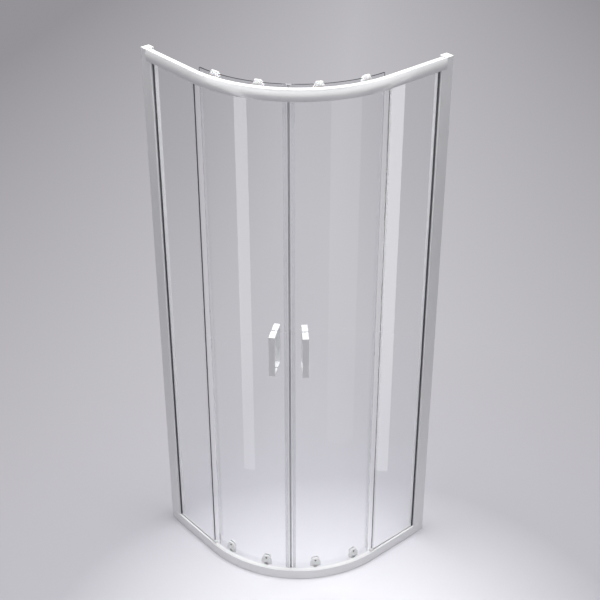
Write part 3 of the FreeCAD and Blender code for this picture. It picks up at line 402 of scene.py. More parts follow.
class Finish(Nodes):
    """A material, kept under its name."""

    made = {}

    def __init__(self, name):
        Finish.made[name] = bpy.data.materials.new(name)
        super().__init__(Finish.made[name], "Material")

    def place(self, stretch=None):
        """The place on the piece, stretched along its axes where that is asked for."""
        place = self.node("TexCoord", result="Object")
        return self.node("Mapping", {"Vector": place, "Scale": stretch}) if stretch else place

    def noise(self, scale, detail, stretch=None):
        return self.node("TexNoise", {"Vector": self.place(stretch), "Scale": scale, "Detail": detail})

    def blend(self, factor, first, second):
        return self.node("Mix", {0: factor, 6: first, 7: second}, 2, data_type="RGBA")

    def bump(self, height, depth):
        return self.node("Bump", {"Height": height, "Distance": depth, "Strength": 1.0})

    def surface(self, **inputs):
        return self.node("BsdfPrincipled", {key.replace("_", " "): inputs[key] for key in inputs})

    def tones(self, factor, name, dark, pale):
        """A colour of the settings, drifting between a darker and a paler shade."""
        tone = getattr(settings().finishes, name)
        return self.blend(factor, shade(tone, dark), shade(tone, pale))


def shade(tone, factor):
    return tuple(part * factor for part in tone)


def powder_coat():
    """Gloss white powder coat: a fine orange peel and a slightly uneven gloss."""
    made = Finish("powder_coat")
    drift = made.noise(3.0, 3.0)
    peel = made.noise(520.0, 2.0)
    made.finish(made.surface(
        Base_Color=made.tones(drift, "powder_coat", 0.985, 1.01),
        Roughness=drift * 0.09 + 0.17 + peel * 0.03, IOR=1.5, Coat_Weight=0.35, Coat_Roughness=0.06,
        Normal=made.bump(peel, 0.000035)))


def grained(name, noise, tones, gloss, depth=None, skin=None, **inputs):
    """A finish whose colour, roughness and surface follow one noise, or whose surface has its own."""
    made = Finish(name)
    grain = made.noise(*noise)
    smoothest, swing = gloss
    if depth:
        inputs["Normal"] = made.bump(made.noise(*skin) if skin else grain, depth)
    made.finish(made.surface(
        Base_Color=made.tones(grain, name, *tones), Roughness=grain * swing + smoothest, **inputs))


def vinyl(name, milk, rim_milk):
    """Clear soft vinyl: a milky film with faint die lines along its length."""
    made = Finish(name)
    lines = made.noise(420.0, 2.0, (1.0, 1.0, 0.02))
    rim = made.node("LayerWeight", {"Blend": 0.25}, 1)
    made.finish(made.surface(
        Base_Color=made.tones(lines, "vinyl", 0.95, 1.0), Roughness=lines * 0.14 + 0.14, IOR=1.45,
        Alpha=lines * 0.04 + rim * rim_milk + milk, Normal=made.bump(lines, 0.00002)))


def glass():
    """Clear toughened glass with the faint waviness of the roller hearth.  The rays of lamps pass it
    straight, so that what is behind stays lit."""
    made = Finish("glass")
    wave = made.noise(7.0, 1.0, (1.0, 1.0, 0.25))
    film = made.noise(30.0, 3.0, (1.0, 1.0, 0.3))
    body = made.surface(
        Base_Color=made.tones(film, "glass", 0.995, 1.0), Roughness=0.0, IOR=1.5,
        Transmission_Weight=1.0, Normal=made.bump(wave, 0.00008))
    clear = made.node("BsdfTransparent", {"Color": shade(settings().finishes.glass, 1.04)})
    made.finish(made.mixed(made.ray("Shadow"), body, clear))


# The record's slots and the finishes that stand for them
SLOT_FINISHES = {
    "white_metal": "powder_coat", "white_plastic": "moulding", "wheel_plastic": "nylon",
    "clear_glass": "glass", "clear_seal": "vinyl", "dark_rubber": "rubber", "steel": "steel"}
# The carriage bolts take the darkened steel as painted shade in the housings' bolt recesses
NODE_FINISHES = {f"carriage_bolts_{side}": "dark_steel" for side in SIDES}


@step
def make_finishes():
    """Make the finishes and give every frame node the one of its slot"""
    powder_coat()
    grained("moulding", (45.0, 3.0, (1.0, 1.0, 0.35)), (0.98, 1.01), (0.22, 0.08), 0.00001, (1500.0, 1.0),
            IOR=1.49, Subsurface_Weight=0.08, Subsurface_Scale=0.002)
    grained("nylon", (160.0, 3.0), (0.95, 1.0), (0.38, 0.12), 0.00003,
            IOR=1.53, Subsurface_Weight=0.12, Subsurface_Scale=0.002)
    grained("rubber", (900.0, 3.0), (0.8, 1.25), (0.55, 0.2), 0.00004, IOR=1.5)
    grained("magnet", (2200.0, 2.0), (0.85, 1.15), (0.45, 0.15))
    grained("steel", (700.0, 2.0, (1.0, 1.0, 0.06)), (0.9, 1.0), (0.22, 0.16), 0.00001, Metallic=1.0)
    # Darkened steel, as painted shade for the bolts and screw sockets in recesses
    grained("dark_steel", (900.0, 2.0), (0.8, 1.2), (0.40, 0.2), 0.00001, Metallic=0.6)
    vinyl("vinyl", 0.035, 0.09)
    vinyl("milky_vinyl", 0.10, 0.30)
    glass()
    grained("glass_edge", (900.0, 2.0), (0.85, 1.15), (0.10, 0.08), 0.00001, IOR=1.5)
    for row in frame["record"]["subparts"]:
        node = frame["nodes"][row["node"]]
        node.data.materials.clear()
        finish = NODE_FINISHES.get(row["node"], SLOT_FINISHES[row["material_slot"]])
        node.data.materials.append(Finish.made[finish])


# Modelling helpers
def ring_centre():
    radius = settings().rails.radius
    return Vector((HALF_SIDE - radius, radius - HALF_SIDE, 0.0))


def arc_span(arc_length, radius):
    """The angle, in degrees, that a length covers on a circle."""
    return math.degrees(arc_length / radius)


def spot_angle(spot):
    """The angle at which a roller of the left door stands, from the axle of its wheel."""
    joint = next(item for item in frame["joints"] if item["name"] == f"top_wheel_left_{spot}_spin")
    return math.degrees(math.atan2(joint["axis"][0], -joint["axis"][1]))


def rotation(degrees, axis="Z"):
    return Matrix.Rotation(math.radians(degrees), 3, axis)


def turn(mesh, degrees, axis="Z", verts=None):
    bmesh.ops.rotate(mesh, verts=verts or mesh.verts, cent=(0, 0, 0), matrix=rotation(degrees, axis))


def shift(mesh, move, verts=None):
    bmesh.ops.translate(mesh, verts=verts or mesh.verts, vec=move)


def everything(mesh):
    return [*mesh.verts, *mesh.edges, *mesh.faces]


def only_face(made):
    return next(item for item in made if isinstance(item, bmesh.types.BMFace))


def bevel(mesh, geometry, offset, segments, affect="EDGES", clamp=True):
    bmesh.ops.bevel(mesh, geom=list(geometry), offset=offset, affect=affect, segments=segments,
                    profile=0.5, material=-1, clamp_overlap=clamp)


def face_through(mesh, corners):
    """A face through corners, some of which are given with a rounding."""
    mesh.faces.new([corner for corner, *_ in corners])
    rounded = {}
    for corner, *rounding in corners:
        if any(rounding):
            rounded.setdefault(rounding[0], []).append(corner)
    for rounding, verts in rounded.items():
        bevel(mesh, verts, rounding, ROUND_STEPS, "VERTICES", False)
    return mesh, only_face(mesh.faces)


def section(corners, x=0.0):
    """A mesh with a face across the panel at x, and that face.  A corner is (reach, level), then its
    rounding if it has one, and then, where an arc starts, the arc's centre as (reach, level)."""
    mesh, ring = bmesh.new(), []
    for index, (reach, level, *more) in enumerate(corners):
        corner = mesh.verts.new((x, -reach, level))
        ring.append((corner, *more[:1]))
        if more[1:]:
            centre_reach, centre_level = more[1]
            end_reach, end_level = corners[(index + 1) % len(corners)][:2]
            start_angle = math.atan2(level - centre_level, centre_reach - reach)
            end_angle = math.atan2(end_level - centre_level, centre_reach - end_reach)
            known = set(mesh.verts)
            bmesh.ops.spin(mesh, geom=[corner], cent=(x, -centre_reach, centre_level), axis=(1, 0, 0),
                           angle=(end_angle - start_angle + math.pi) % math.tau - math.pi,
                           steps=settings().rails.crown_steps)
            spun = [vert for vert in mesh.verts if vert not in known]
            bmesh.ops.delete(mesh, geom=[spun.pop()], context="VERTS")
            ring += [(vert,) for vert in spun]
    return face_through(mesh, ring)


def plan(corners, level):
    """A mesh with a flat face at a level, and that face.  A corner is (angle, reach), then its rounding
    if it has one."""
    mesh = bmesh.new()
    return face_through(mesh, [
        (mesh.verts.new(rotation(degrees) @ Vector((0, -reach, level))), *rounding)
        for degrees, reach, *rounding in corners])


def carry(mesh, face, move):
    """Extrude a face and give back the new one."""
    made = bmesh.ops.extrude_face_region(mesh, geom=[face])["geom"]
    shift(mesh, move, [item for item in made if isinstance(item, bmesh.types.BMVert)])
    return only_face(made)


def swing(mesh, face, degrees, steps):
    """Extrude a face round the centre of the quarter circle."""
    return only_face(bmesh.ops.spin(
        mesh, geom=[face, *face.edges, *face.verts], cent=(0, 0, 0), axis=UP,
        angle=math.radians(degrees), steps=steps)["geom_last"])


def lathe(outline):
    """Spin an outline of (radius, height) about Y into a closed shape."""
    mesh = bmesh.new()
    verts = [mesh.verts.new((radius, height, 0.0)) for radius, height in outline]
    edges = [mesh.edges.new(pair) for pair in zip(verts, verts[1:])]
    bmesh.ops.spin(mesh, geom=verts + edges, cent=(0, 0, 0), axis=(0, 1, 0), angle=math.tau,
                   steps=HOLE_SEGMENTS, use_merge=True)
    bmesh.ops.remove_doubles(mesh, verts=mesh.verts, dist=WELD)
    return mesh


def flat_box(mesh, low, high):
    """A block between two corners."""
    low, high = Vector(low), Vector(high)
    made = bmesh.ops.create_cube(mesh, size=1.0)["verts"]
    bmesh.ops.scale(mesh, verts=made, vec=high - low)
    shift(mesh, (low + high) / 2, made)


def bar(mesh, radius, tall):
    """An upright round bar."""
    return bmesh.ops.create_cone(mesh, cap_ends=True, segments=HOLE_SEGMENTS, radius1=radius,
                                 radius2=radius, depth=tall)["verts"]


def rod(mesh, radius, start_reach, end_reach, level):
    """A round bar along the outward line at the angle 0."""
    made = bar(mesh, radius, end_reach - start_reach)
    turn(mesh, QUARTER_TURN, "X", made)
    shift(mesh, (0, -(start_reach + end_reach) / 2, level), made)
    return made


def face_out(mesh):
    bmesh.ops.recalc_face_normals(mesh, faces=mesh.faces)


def cut_at(mesh, level):
    """Divide every face that crosses a level."""
    bmesh.ops.bisect_plane(mesh, geom=everything(mesh), plane_co=(0, 0, level), plane_no=UP)


def finished(mesh, name):
    """The mesh data of a finished shape."""
    data = bpy.data.meshes.new(name)
    mesh.to_mesh(data)
    mesh.free()
    return data


def linked(name, data):
    """A new object in the scene."""
    item = bpy.data.objects.new(name, data)
    bpy.context.scene.collection.objects.link(item)
    return item


def carve(mesh, cutter):
    """Cut one closed mesh out of another, and give back the result."""
    face_out(mesh)
    face_out(cutter)
    body, tool = linked("carved", finished(mesh, "carved")), linked("cutter", finished(cutter, "cutter"))
    cut = body.modifiers.new("cut", "BOOLEAN")
    cut.operation = "DIFFERENCE"
    cut.solver = "EXACT"
    cut.object = tool
    shape = body.evaluated_get(bpy.context.evaluated_depsgraph_get()).to_mesh()
    result = bmesh.new()
    result.from_mesh(shape)
    for item in (body, tool):
        data = item.data
        bpy.data.objects.remove(item)
        bpy.data.meshes.remove(data)
    return result


def deliver(mesh, name, body, finishes, stands_for=(), right=False):
    """Put a finished shape in its place as a piece of the enclosure."""
    bmesh.ops.remove_doubles(mesh, verts=mesh.verts, dist=WELD)
    face_out(mesh)
    shift(mesh, ring_centre())
    if right:
        bmesh.ops.transform(mesh, matrix=CROSS, verts=mesh.verts)
        bmesh.ops.reverse_faces(mesh, faces=mesh.faces)
    data = finished(mesh, name)
    data.shade_smooth()
    data.set_sharp_from_angle(angle=SHARP)
    for finish in finishes:
        data.materials.append(Finish.made[finish])
    piece = linked(name, data)
    even = piece.modifiers.new("even_normals", "WEIGHTED_NORMAL")
    even.keep_sharp = True
    even.weight = EVEN_WEIGHT
    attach(piece, body)
    if stands_for:
        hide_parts(*stands_for)
    return piece


# Rails
def rail_reaches():
    """The reaches that both rails share: mouth, groove's inner and outer side."""
    rails = settings().rails
    pane = rails.radius - rails.fixed_inset
    return rails.radius - rails.depth, pane - settings().glass.thickness - rails.gasket, pane + rails.gasket


def top_rail_corners():
    """Section of the top rail: bowed face, roof, ledge with a lip, and the glazing groove below it."""
    rails = settings().rails
    soft, low = rails.softness, TOP_RAIL_LOW
    mouth, groove_inner, groove_outer = rail_reaches()
    half = (HEIGHT - low - rails.corner) / 2
    bow = (half ** 2 + rails.crown ** 2) / (rails.crown * 2)
    centre = (rails.radius - bow, low + half)
    face = rails.radius - rails.crown
    roof = HEIGHT - rails.wall
    ledge = roof - rails.track
    below = ledge - rails.wall
    pocket = groove_outer + rails.wall

    def inside(level):
        return centre[0] + math.sqrt((bow - rails.wall) ** 2 - (level - centre[1]) ** 2)

    return [
        (face, low, soft, centre), (face, HEIGHT - rails.corner),
        (face - rails.corner * CORNER_LEAN, HEIGHT, rails.corner * CORNER_LEAN),
        (mouth, HEIGHT, soft), (mouth, roof, soft), (inside(roof), roof, 0.0, centre),
        (inside(ledge), ledge), (mouth + rails.lip_width, ledge),
        (mouth + rails.lip_width, ledge + rails.lip_height, soft),
        (mouth, ledge + rails.lip_height, soft), (mouth, low, soft),
        (groove_inner, low, soft), (groove_inner, below), (groove_outer, below),
        (groove_outer, low, soft), (pocket, low, soft), (pocket, below),
        (inside(below), below, 0.0, centre), (inside(low), low, soft)]


def bottom_rail_corners():
    """Section of the bottom rail: flat face, glazing groove, and the hooked channel below it."""
    rails = settings().rails
    soft, high = rails.softness, BOTTOM_RAIL_HIGH
    mouth, groove_inner, groove_outer = rail_reaches()
    face = rails.radius - rails.set_in
    floor = high - rails.groove
    web = floor - rails.wall
    lip = mouth + rails.lip_width
    inner = face - rails.wall
    return [
        (face, 0.0, rails.foot), (face, high, rails.brow), (groove_outer, high, soft),
        (groove_outer, floor), (groove_inner, floor), (groove_inner, high, soft),
        (mouth, high, soft), (mouth, web - rails.lip_height, soft),
        (lip, web - rails.lip_height, soft), (lip, web), (inner, web),
        (inner, rails.wall), (mouth, rails.wall, soft), (mouth, 0.0, soft)]


def bent_rail(corners, holes_low, holes_high):
    """A rail: straight from the left wall, round the quarter circle, straight to the right wall, with
    round holes over the rail screws at both ends."""
    rails = settings().rails
    run = ring_centre().x - RAIL_START
    mesh, face = section(corners, -run)
    face = carry(mesh, face, (run, 0, 0))
    face = swing(mesh, face, QUARTER_TURN, rails.bend_steps)
    carry(mesh, face, (0, run, 0))
    _, groove_inner, groove_outer = rail_reaches()
    reach = (groove_inner + groove_outer) / 2
    along = rails.screw_place - HALF_SIDE - ring_centre().x
    drills = bmesh.new()
    for place in ((along, -reach), (reach, -along)):
        shift(drills, (*place, (holes_low + holes_high) / 2),
              bar(drills, rails.driver_hole, holes_high - holes_low))
    return carve(mesh, drills)


@step
def make_rails():
    """Make the two bent rails and the drip strip"""
    rails = settings().rails
    top = bent_rail(top_rail_corners(), HEIGHT - rails.wall * 2, HEIGHT + rails.wall)
    deliver(top, "upper_bent_rail", "frame", ["powder_coat"], ["top_rail"])
    bottom = bent_rail(bottom_rail_corners(), -rails.wall, rails.wall * 2)
    deliver(bottom, "lower_bent_rail", "frame", ["powder_coat"], ["bottom_rail"])
    _, groove_inner, groove_outer = rail_reaches()
    inner, outer = groove_inner + rails.infill_gap, groove_outer - rails.infill_gap
    low, high = BOTTOM_RAIL_HIGH - rails.groove, BOTTOM_RAIL_HIGH
    strip, face = section([(inner, low), (outer, low), (outer, high, rails.softness),
                           (inner, high, rails.softness)])
    swing(strip, face, QUARTER_TURN, rails.bend_steps)
    deliver(strip, "drip_strip", "frame", ["moulding"], ["bottom_rail_infill"])


# Glass
def mark_edges(mesh, is_side):
    """Give every face that isn't one of the pane's two sides the finish of a polished edge."""
    face_out(mesh)
    for face in mesh.faces:
        face.material_index = 0 if is_side(face) else 1


def door_reaches():
    """The reaches of a door pane's inner and outer side."""
    outer = settings().rails.radius - settings().glass.door_inset
    return outer - settings().glass.thickness, outer


def door_end():
    seals = settings().seals
    return SEAM_ANGLE - arc_span(seals.head + seals.gap / 2, door_reaches()[1])


def pane_holes():
    """Angle, level and radius of each hole in the left door's pane."""
    panes = settings().glass
    for spot in SPOTS:
        for level in (HEIGHT - panes.bolt_drop, panes.bolt_level):
            yield spot_angle(spot), level, panes.bolt_hole
    handles = settings().handles
    low, high = (corner.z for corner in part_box("outer_handle_left"))
    for level in (low + handles.bar / 2, high - handles.bar / 2):
        yield handles.place, level, panes.stud_hole


def drilled(mesh):
    """The door pane with its holes; cuts above and below each one keep the rest of the pane even."""
    inner, outer = door_reaches()
    drills = bmesh.new()
    for degrees, level, radius in pane_holes():
        cut_at(mesh, level - radius * HOLE_MARGIN)
        cut_at(mesh, level + radius * HOLE_MARGIN)
        turn(drills, degrees, "Z", rod(drills, radius, inner - radius, outer + radius, level))
    return carve(mesh, drills)


def door_pane(side):
    panes = settings().glass
    inner, outer = door_reaches()
    mesh, face = section([(inner, DOOR_LOW, panes.arris), (outer, DOOR_LOW, panes.arris),
                          (outer, DOOR_HIGH, panes.arris), (inner, DOOR_HIGH, panes.arris)])
    turn(mesh, panes.start)
    swing(mesh, face, door_end() - panes.start, panes.steps)
    mesh = drilled(mesh)

    def is_side(item):
        middle = item.calc_center_median()
        outward = Vector((middle.x, middle.y, 0.0)).normalized()
        upright = abs(item.normal.z) < 1.0 - SIDE_FACING
        return upright and (abs(item.normal.dot(outward)) > SIDE_FACING or item.calc_area() > END_AREA)

    mark_edges(mesh, is_side)
    deliver(mesh, f"door_pane_{side}", f"door_{side}", ["glass", "glass_edge"],
            [f"door_glass_{side}"], side == "right")


def fixed_pane(side):
    low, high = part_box("fixed_glass_left")
    mesh = bmesh.new()
    flat_box(mesh, low - ring_centre(), high - ring_centre())
    bevel(mesh, mesh.edges, settings().glass.arris, 1)
    mark_edges(mesh, lambda item: abs(item.normal.y) > SIDE_FACING)
    deliver(mesh, f"fixed_pane_{side}", "frame", ["glass", "glass_edge"],
            [f"fixed_glass_{side}"], side == "right")


@step
def make_glass():
    """Make the two curved door panes and the two fixed panes"""
    for side in SIDES:
        door_pane(side)
        fixed_pane(side)


# Seals
def magnetic_strip():
    """The clear strip on a door's leading edge."""
    seals = settings().seals
    inner, outer = door_reaches()
    edge = door_end() + arc_span(seals.fit, outer)
    leg_end = edge - arc_span(seals.legs, outer)
    middle = (edge + leg_end) / 2
    head_end = SEAM_ANGLE - arc_span(seals.gap / 2, outer)
    outside, inside = outer + seals.fit, inner - seals.fit
    top, bottom = outside + seals.wall, inside - seals.wall
    soft = seals.rounding
    mesh, face = plan([
        (leg_end, top, soft), (middle, top), (edge, top), (head_end, top, soft * 2),
        (head_end, bottom, soft * 2), (edge, bottom), (middle, bottom), (leg_end, bottom, soft),
        (leg_end, inside, soft), (middle, inside), (edge, inside), (edge, outside),
        (middle, outside), (leg_end, outside, soft)], DOOR_LOW)
    carry(mesh, face, (0, 0, DOOR_HIGH - DOOR_LOW))
    return mesh


def magnet_bar(play, past_end):
    """The magnet, or with some play the pocket that it lies in."""
    seals = settings().seals
    middle = sum(door_reaches()) / 2
    end, start = (SEAM_ANGLE - arc_span(seals.gap / 2 + seals.magnet_cover + further, middle)
                  for further in (-play, seals.magnet_width + play))
    half = seals.magnet_depth / 2 + play
    mesh, face = plan([(start, middle + half), (end, middle + half),
                       (end, middle - half), (start, middle - half)], DOOR_LOW - past_end)
    carry(mesh, face, (0, 0, DOOR_HIGH - DOOR_LOW + past_end * 2))
    return mesh


@step
def make_seals():
    """Make the magnetic strips between the two doors"""
    for side in SIDES:
        right = side == "right"
        strip = carve(magnetic_strip(), magnet_bar(MAGNET_PLAY, MAGNET_END))
        deliver(strip, f"magnetic_strip_{side}", f"door_{side}", ["milky_vinyl"],
                [f"magnetic_seal_{side}"], right)
        deliver(magnet_bar(0.0, -MAGNET_END), f"magnet_bar_{side}", f"door_{side}",
                ["magnet"], (), right)


# Rollers
def front_edges(mesh, reach):
    """The edges of the outline at a reach."""
    return [edge for edge in mesh.edges
            if all(abs(vert.co.y + reach) < NEAR for vert in edge.verts) and not all(
                abs(face.normal.y) > SIDE_FACING for face in edge.link_faces)]


def front_face(mesh, reach):
    return max((face for face in mesh.faces if abs(face.calc_center_median().y + reach) < NEAR),
               key=lambda face: face.calc_area())


def roller_cover(back):
    """The moulded cover of an upper roller: a waisted plate, a raised field and the screw's boss."""
    rollers = settings().rollers
    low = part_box("top_carriages_left")[0].z
    top = HEIGHT + rollers.top
    shoulder = HEIGHT - rollers.shoulder
    knee = low + rollers.half - rollers.foot_half + rollers.shoulder
    waist_half = (rollers.half + rollers.top_half) / 2 - rollers.waist
    half_outline = [(rollers.foot_half, low), (rollers.half, knee), (rollers.half, shoulder),
                    (waist_half, (shoulder + top) / 2), (rollers.top_half, top)]
    mesh = bmesh.new()
    ring = [mesh.verts.new((x, -back, z)) for x, z in half_outline]
    ring += [mesh.verts.new((-x, -back, z)) for x, z in reversed(half_outline)]
    mesh.faces.new(ring)
    bevel(mesh, ring, rollers.rounding, COVER_STEPS, "VERTICES")
    reach = back + rollers.plate
    carry(mesh, only_face(mesh.faces), (0, -rollers.plate, 0))
    bevel(mesh, front_edges(mesh, reach), rollers.edge, 4)
    for inset, rise in ((rollers.rim, 0.0), (rollers.field, rollers.field)):
        bmesh.ops.inset_region(mesh, faces=[front_face(mesh, reach)], thickness=inset, depth=rise,
                               use_even_offset=True)
    face_out(mesh)
    boss(mesh, reach + rollers.field, top - rollers.screw_drop)
    return mesh


def boss(mesh, reach, level):
    """A round boss with a dark socket, standing on a face at a reach."""
    rollers = settings().rollers
    tip = reach + rollers.boss_height
    rim = rollers.boss - rollers.socket
    spun = lathe([(radius, -depth) for radius, depth in (
        (0.0, reach - rollers.field), (rollers.boss, reach - rollers.field),
        (rollers.boss, tip - rim * BOSS_BEVEL), (rollers.boss - rim * BOSS_BEVEL, tip),
        (rollers.socket + rim * SOCKET_BEVEL, tip), (rollers.socket, tip - rim * SOCKET_BEVEL),
        (rollers.socket, tip - rollers.socket_depth), (0.0, tip - rollers.socket_depth))])
    face_out(spun)
    # The socket's faces take the darkened steel, partly the screw's own steel and partly painted shade in the
    # recess
    for face in spun.faces:
        in_socket = all(math.hypot(vert.co.x, vert.co.z) < rollers.socket + NEAR for vert in face.verts)
        face.material_index = int(in_socket and face.calc_center_median().y < -reach)
    shift(spun, (0, 0, level))
    shape = finished(spun, "boss")
    mesh.from_mesh(shape)
    bpy.data.meshes.remove(shape)


def housing(back):
    """The domed housing of a lower roller, closed and without its pocket."""
    sizes = settings().housings
    low, high = (corner.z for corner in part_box("bottom_housings_left"))
    lean, rise = sizes.half - sizes.top_half, high - sizes.shoulder
    bow = (lean ** 2 + rise ** 2) / (lean * 2)
    mesh, face = section([
        (-sizes.half, low), (sizes.half, low),
        (sizes.half, sizes.shoulder, 0.0, (sizes.half - bow, sizes.shoulder)),
        (sizes.top_half, high, sizes.rounding),
        (-sizes.top_half, high, sizes.rounding, (bow - sizes.half, sizes.shoulder)),
        (-sizes.half, sizes.shoulder)])
    turn(mesh, QUARTER_TURN)
    shift(mesh, (0, -back, 0))
    front = door_reaches()[1] + sizes.thickness
    carry(mesh, face, (0, back - front, 0))
    cut_at(mesh, sizes.shoulder)
    face_out(mesh)
    rim = [edge for edge in front_edges(mesh, front) if any(vert.co.z > low + NEAR for vert in edge.verts)]
    for vert in mesh.verts:
        if abs(vert.co.y + front) < NEAR and vert.co.z > sizes.shoulder:
            vert.co.y += (vert.co.z - sizes.shoulder) * sizes.lean
    bevel(mesh, rim, sizes.edge, 5)
    return mesh


def housing_cutters():
    """The slider's pocket, the button's slot and the recess over the bolt."""
    sizes = settings().housings
    outer = door_reaches()[1]
    front = outer + sizes.thickness
    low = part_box("bottom_housings_left")[0].z
    pocket, slot, eye = bmesh.new(), bmesh.new(), bmesh.new()
    flat_box(pocket, (-sizes.pocket_half, -(front - sizes.pocket_wall), low - sizes.pocket_wall),
             (sizes.pocket_half, -(outer + sizes.pocket_wall), sizes.pocket_top))
    flat_box(slot, (-sizes.slot_half, -(front + sizes.pocket_wall), sizes.slot_low),
             (sizes.slot_half, -(front - sizes.pocket_wall * 2), sizes.slot_high))
    rod(eye, sizes.eye, front - sizes.eye_depth, front + sizes.eye_depth, settings().glass.bolt_level)
    return pocket, slot, eye


@step
def make_rollers():
    """Make the covers of the upper rollers and the housings of the lower ones"""
    back = door_reaches()[1] + settings().seals.fit
    for side in SIDES:
        for spot in SPOTS:
            cover = roller_cover(back)
            turn(cover, spot_angle(spot))
            # The covers' screw sockets get the darkened steel, partly painted shade
            deliver(cover, f"roller_cover_{side}_{spot}", f"door_{side}",
                    ["moulding", "dark_steel"], [f"top_carriages_{side}"], side == "right")
            shell = housing(back)
            for cutter in housing_cutters():
                shell = carve(shell, cutter)
            turn(shell, spot_angle(spot))
            deliver(shell, f"roller_housing_{side}_{spot}", f"door_{side}",
                    ["moulding"], [f"bottom_housings_{side}"], side == "right")


# Springs
def coil(low, high):
    """A compression spring between the corners of its CAD solid's box."""
    sizes = settings().springs
    middle = (low + high) / 2 - ring_centre()
    steps = sizes.turns * sizes.steps
    mesh = bmesh.new()
    bmesh.ops.create_circle(mesh, cap_ends=True, segments=WIRE_SEGMENTS, radius=sizes.wire)
    turn(mesh, QUARTER_TURN, "X")
    shift(mesh, (sizes.radius, 0, low.z + sizes.wire))
    bmesh.ops.spin(mesh, geom=everything(mesh), cent=(0, 0, 0), axis=UP, steps=steps,
                   dvec=(0, 0, (high.z - low.z - sizes.wire * 2) / steps), angle=math.tau * sizes.turns)
    shift(mesh, (middle.x, middle.y, 0))
    return mesh


@step
def make_springs():
    """Make the springs behind the release sliders"""
    for side in SIDES:
        for spot in SPOTS:
            name = f"{side}_{spot}"
            low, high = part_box(f"slider_spring_{name}")
            piece = deliver(coil(low, high), f"release_spring_{name}", f"door_{side}",
                            ["steel"], [f"slider_spring_{name}"])
            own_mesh(piece)


# Handles
def bow_handle(node):
    """A pull bent from a flat bar, between the same ends as its CAD solid."""
    sizes = settings().handles
    outward = rotation(sizes.place) @ Vector((0, -1, 0))
    places = [vert.co - ring_centre() for vert in frame["nodes"][node].data.vertices]
    near, far = (pick(place.dot(outward) for place in places) for pick in (min, max))
    base, end = (near, far) if near > door_reaches()[0] else (far, near)
    low, high = (pick(place.z for place in places) for pick in (min, max))
    grip = end - math.copysign(sizes.bar, end - base)
    soft = sizes.softness
    mesh, face = section([
        (base, low), (end, low, sizes.bend), (end, high, sizes.bend), (base, high),
        (base, high - sizes.bar), (grip, high - sizes.bar, soft), (grip, low + sizes.bar, soft),
        (base, low + sizes.bar)], -sizes.width / 2)
    carry(mesh, face, (sizes.width, 0, 0))
    rims = [edge for edge in mesh.edges if abs(edge.verts[0].co.x - edge.verts[1].co.x) < NEAR]
    bevel(mesh, rims, soft, 3)
    turn(mesh, sizes.place)
    return mesh


@step
def make_handles():
    """Make the four bow handles"""
    for side in SIDES:
        for face in ("outer", "inner"):
            deliver(bow_handle(f"{face}_handle_left"), f"{face}_bow_{side}", f"door_{side}",
                    ["powder_coat"], [f"{face}_handle_{side}"], side == "right")


# Screws
def pan_screw():
    """A pan-head screw along Y, its head towards +Y, with a cross recess."""
    sizes = settings().screws
    mesh = lathe([(sizes.head * across, sizes.head_height * up) for across, up in PAN_HEAD] + [
        (sizes.shank, 0.0), (sizes.shank, sizes.shank - sizes.shank_length), (0.0, -sizes.shank_length)])
    for wide, high in ((sizes.recess, sizes.recess_width), (sizes.recess_width, sizes.recess)):
        arm = bmesh.new()
        flat_box(arm, (-wide, sizes.head_height - sizes.recess_depth, -high),
                 (wide, sizes.head_height * 2, high))
        mesh = carve(mesh, arm)
    return mesh


@step
def make_screws():
    """Make the screws of the wall channels"""
    sizes = settings().screws
    pitch = (HEIGHT - sizes.margin * 2) / (sizes.rows - 1)
    x = sizes.set_in - HALF_SIDE - ring_centre().x
    for side in SIDES:
        for row in range(sizes.rows):
            screw = pan_screw()
            turn(screw, SCREW_TURN * (row + 1), "Y")
            shift(screw, (x, -sizes.profile_reach, sizes.margin + pitch * row))
            deliver(screw, f"channel_screw_{side}_{row + 1}", "frame", ["steel"],
                    ["profile_screws"], side == "right")


# Stage
# The far floor's tone, painted brightness of the backdrop: where it starts, and how it changes across and along
# the view
FAR_START = 0.85
FAR_ACROSS = 0.16
FAR_ALONG = 0.042
AIR_TONE = (0.96, 0.96, 1.0)
AIR_STRENGTH = 0.30
LOWER_GLOW = 0.3

# The rail panels stand round the curve and point at its middle
RAIL_AIM = (-0.09, 0.09, 1.82)
# name, place, what it points at, width, height, radiance, and whether it only shows in reflections
LAMPS = (
    ("overhead", (0.1, -0.1, 4.2), (0.0, 0.0, 0.8), 2.8, 2.8, 5.7, False),
    ("left_panel", (0.02, -0.85, 0.9), (0.02, 0.0, 0.9), 0.17, 1.8, 3.6, True),
    ("right_panel", (0.69, 0.47, 0.9), (0.0, -0.22, 0.9), 0.055, 1.8, 4.2, True),
    ("side_panel", (1.05, 0.0, 0.9), (0.0, 0.0, 0.9), 0.5, 1.8, 1.0, True),
    ("rail_panel_left", (-0.03, -1.46, 1.82), RAIL_AIM, 1.45, 0.72, 4.2, True),
    ("rail_panel_middle", (1.10, -0.91, 1.82), RAIL_AIM, 1.45, 0.72, 4.2, True),
    ("rail_panel_right", (1.44, 0.35, 1.82), RAIL_AIM, 1.45, 0.72, 4.2, True),
)


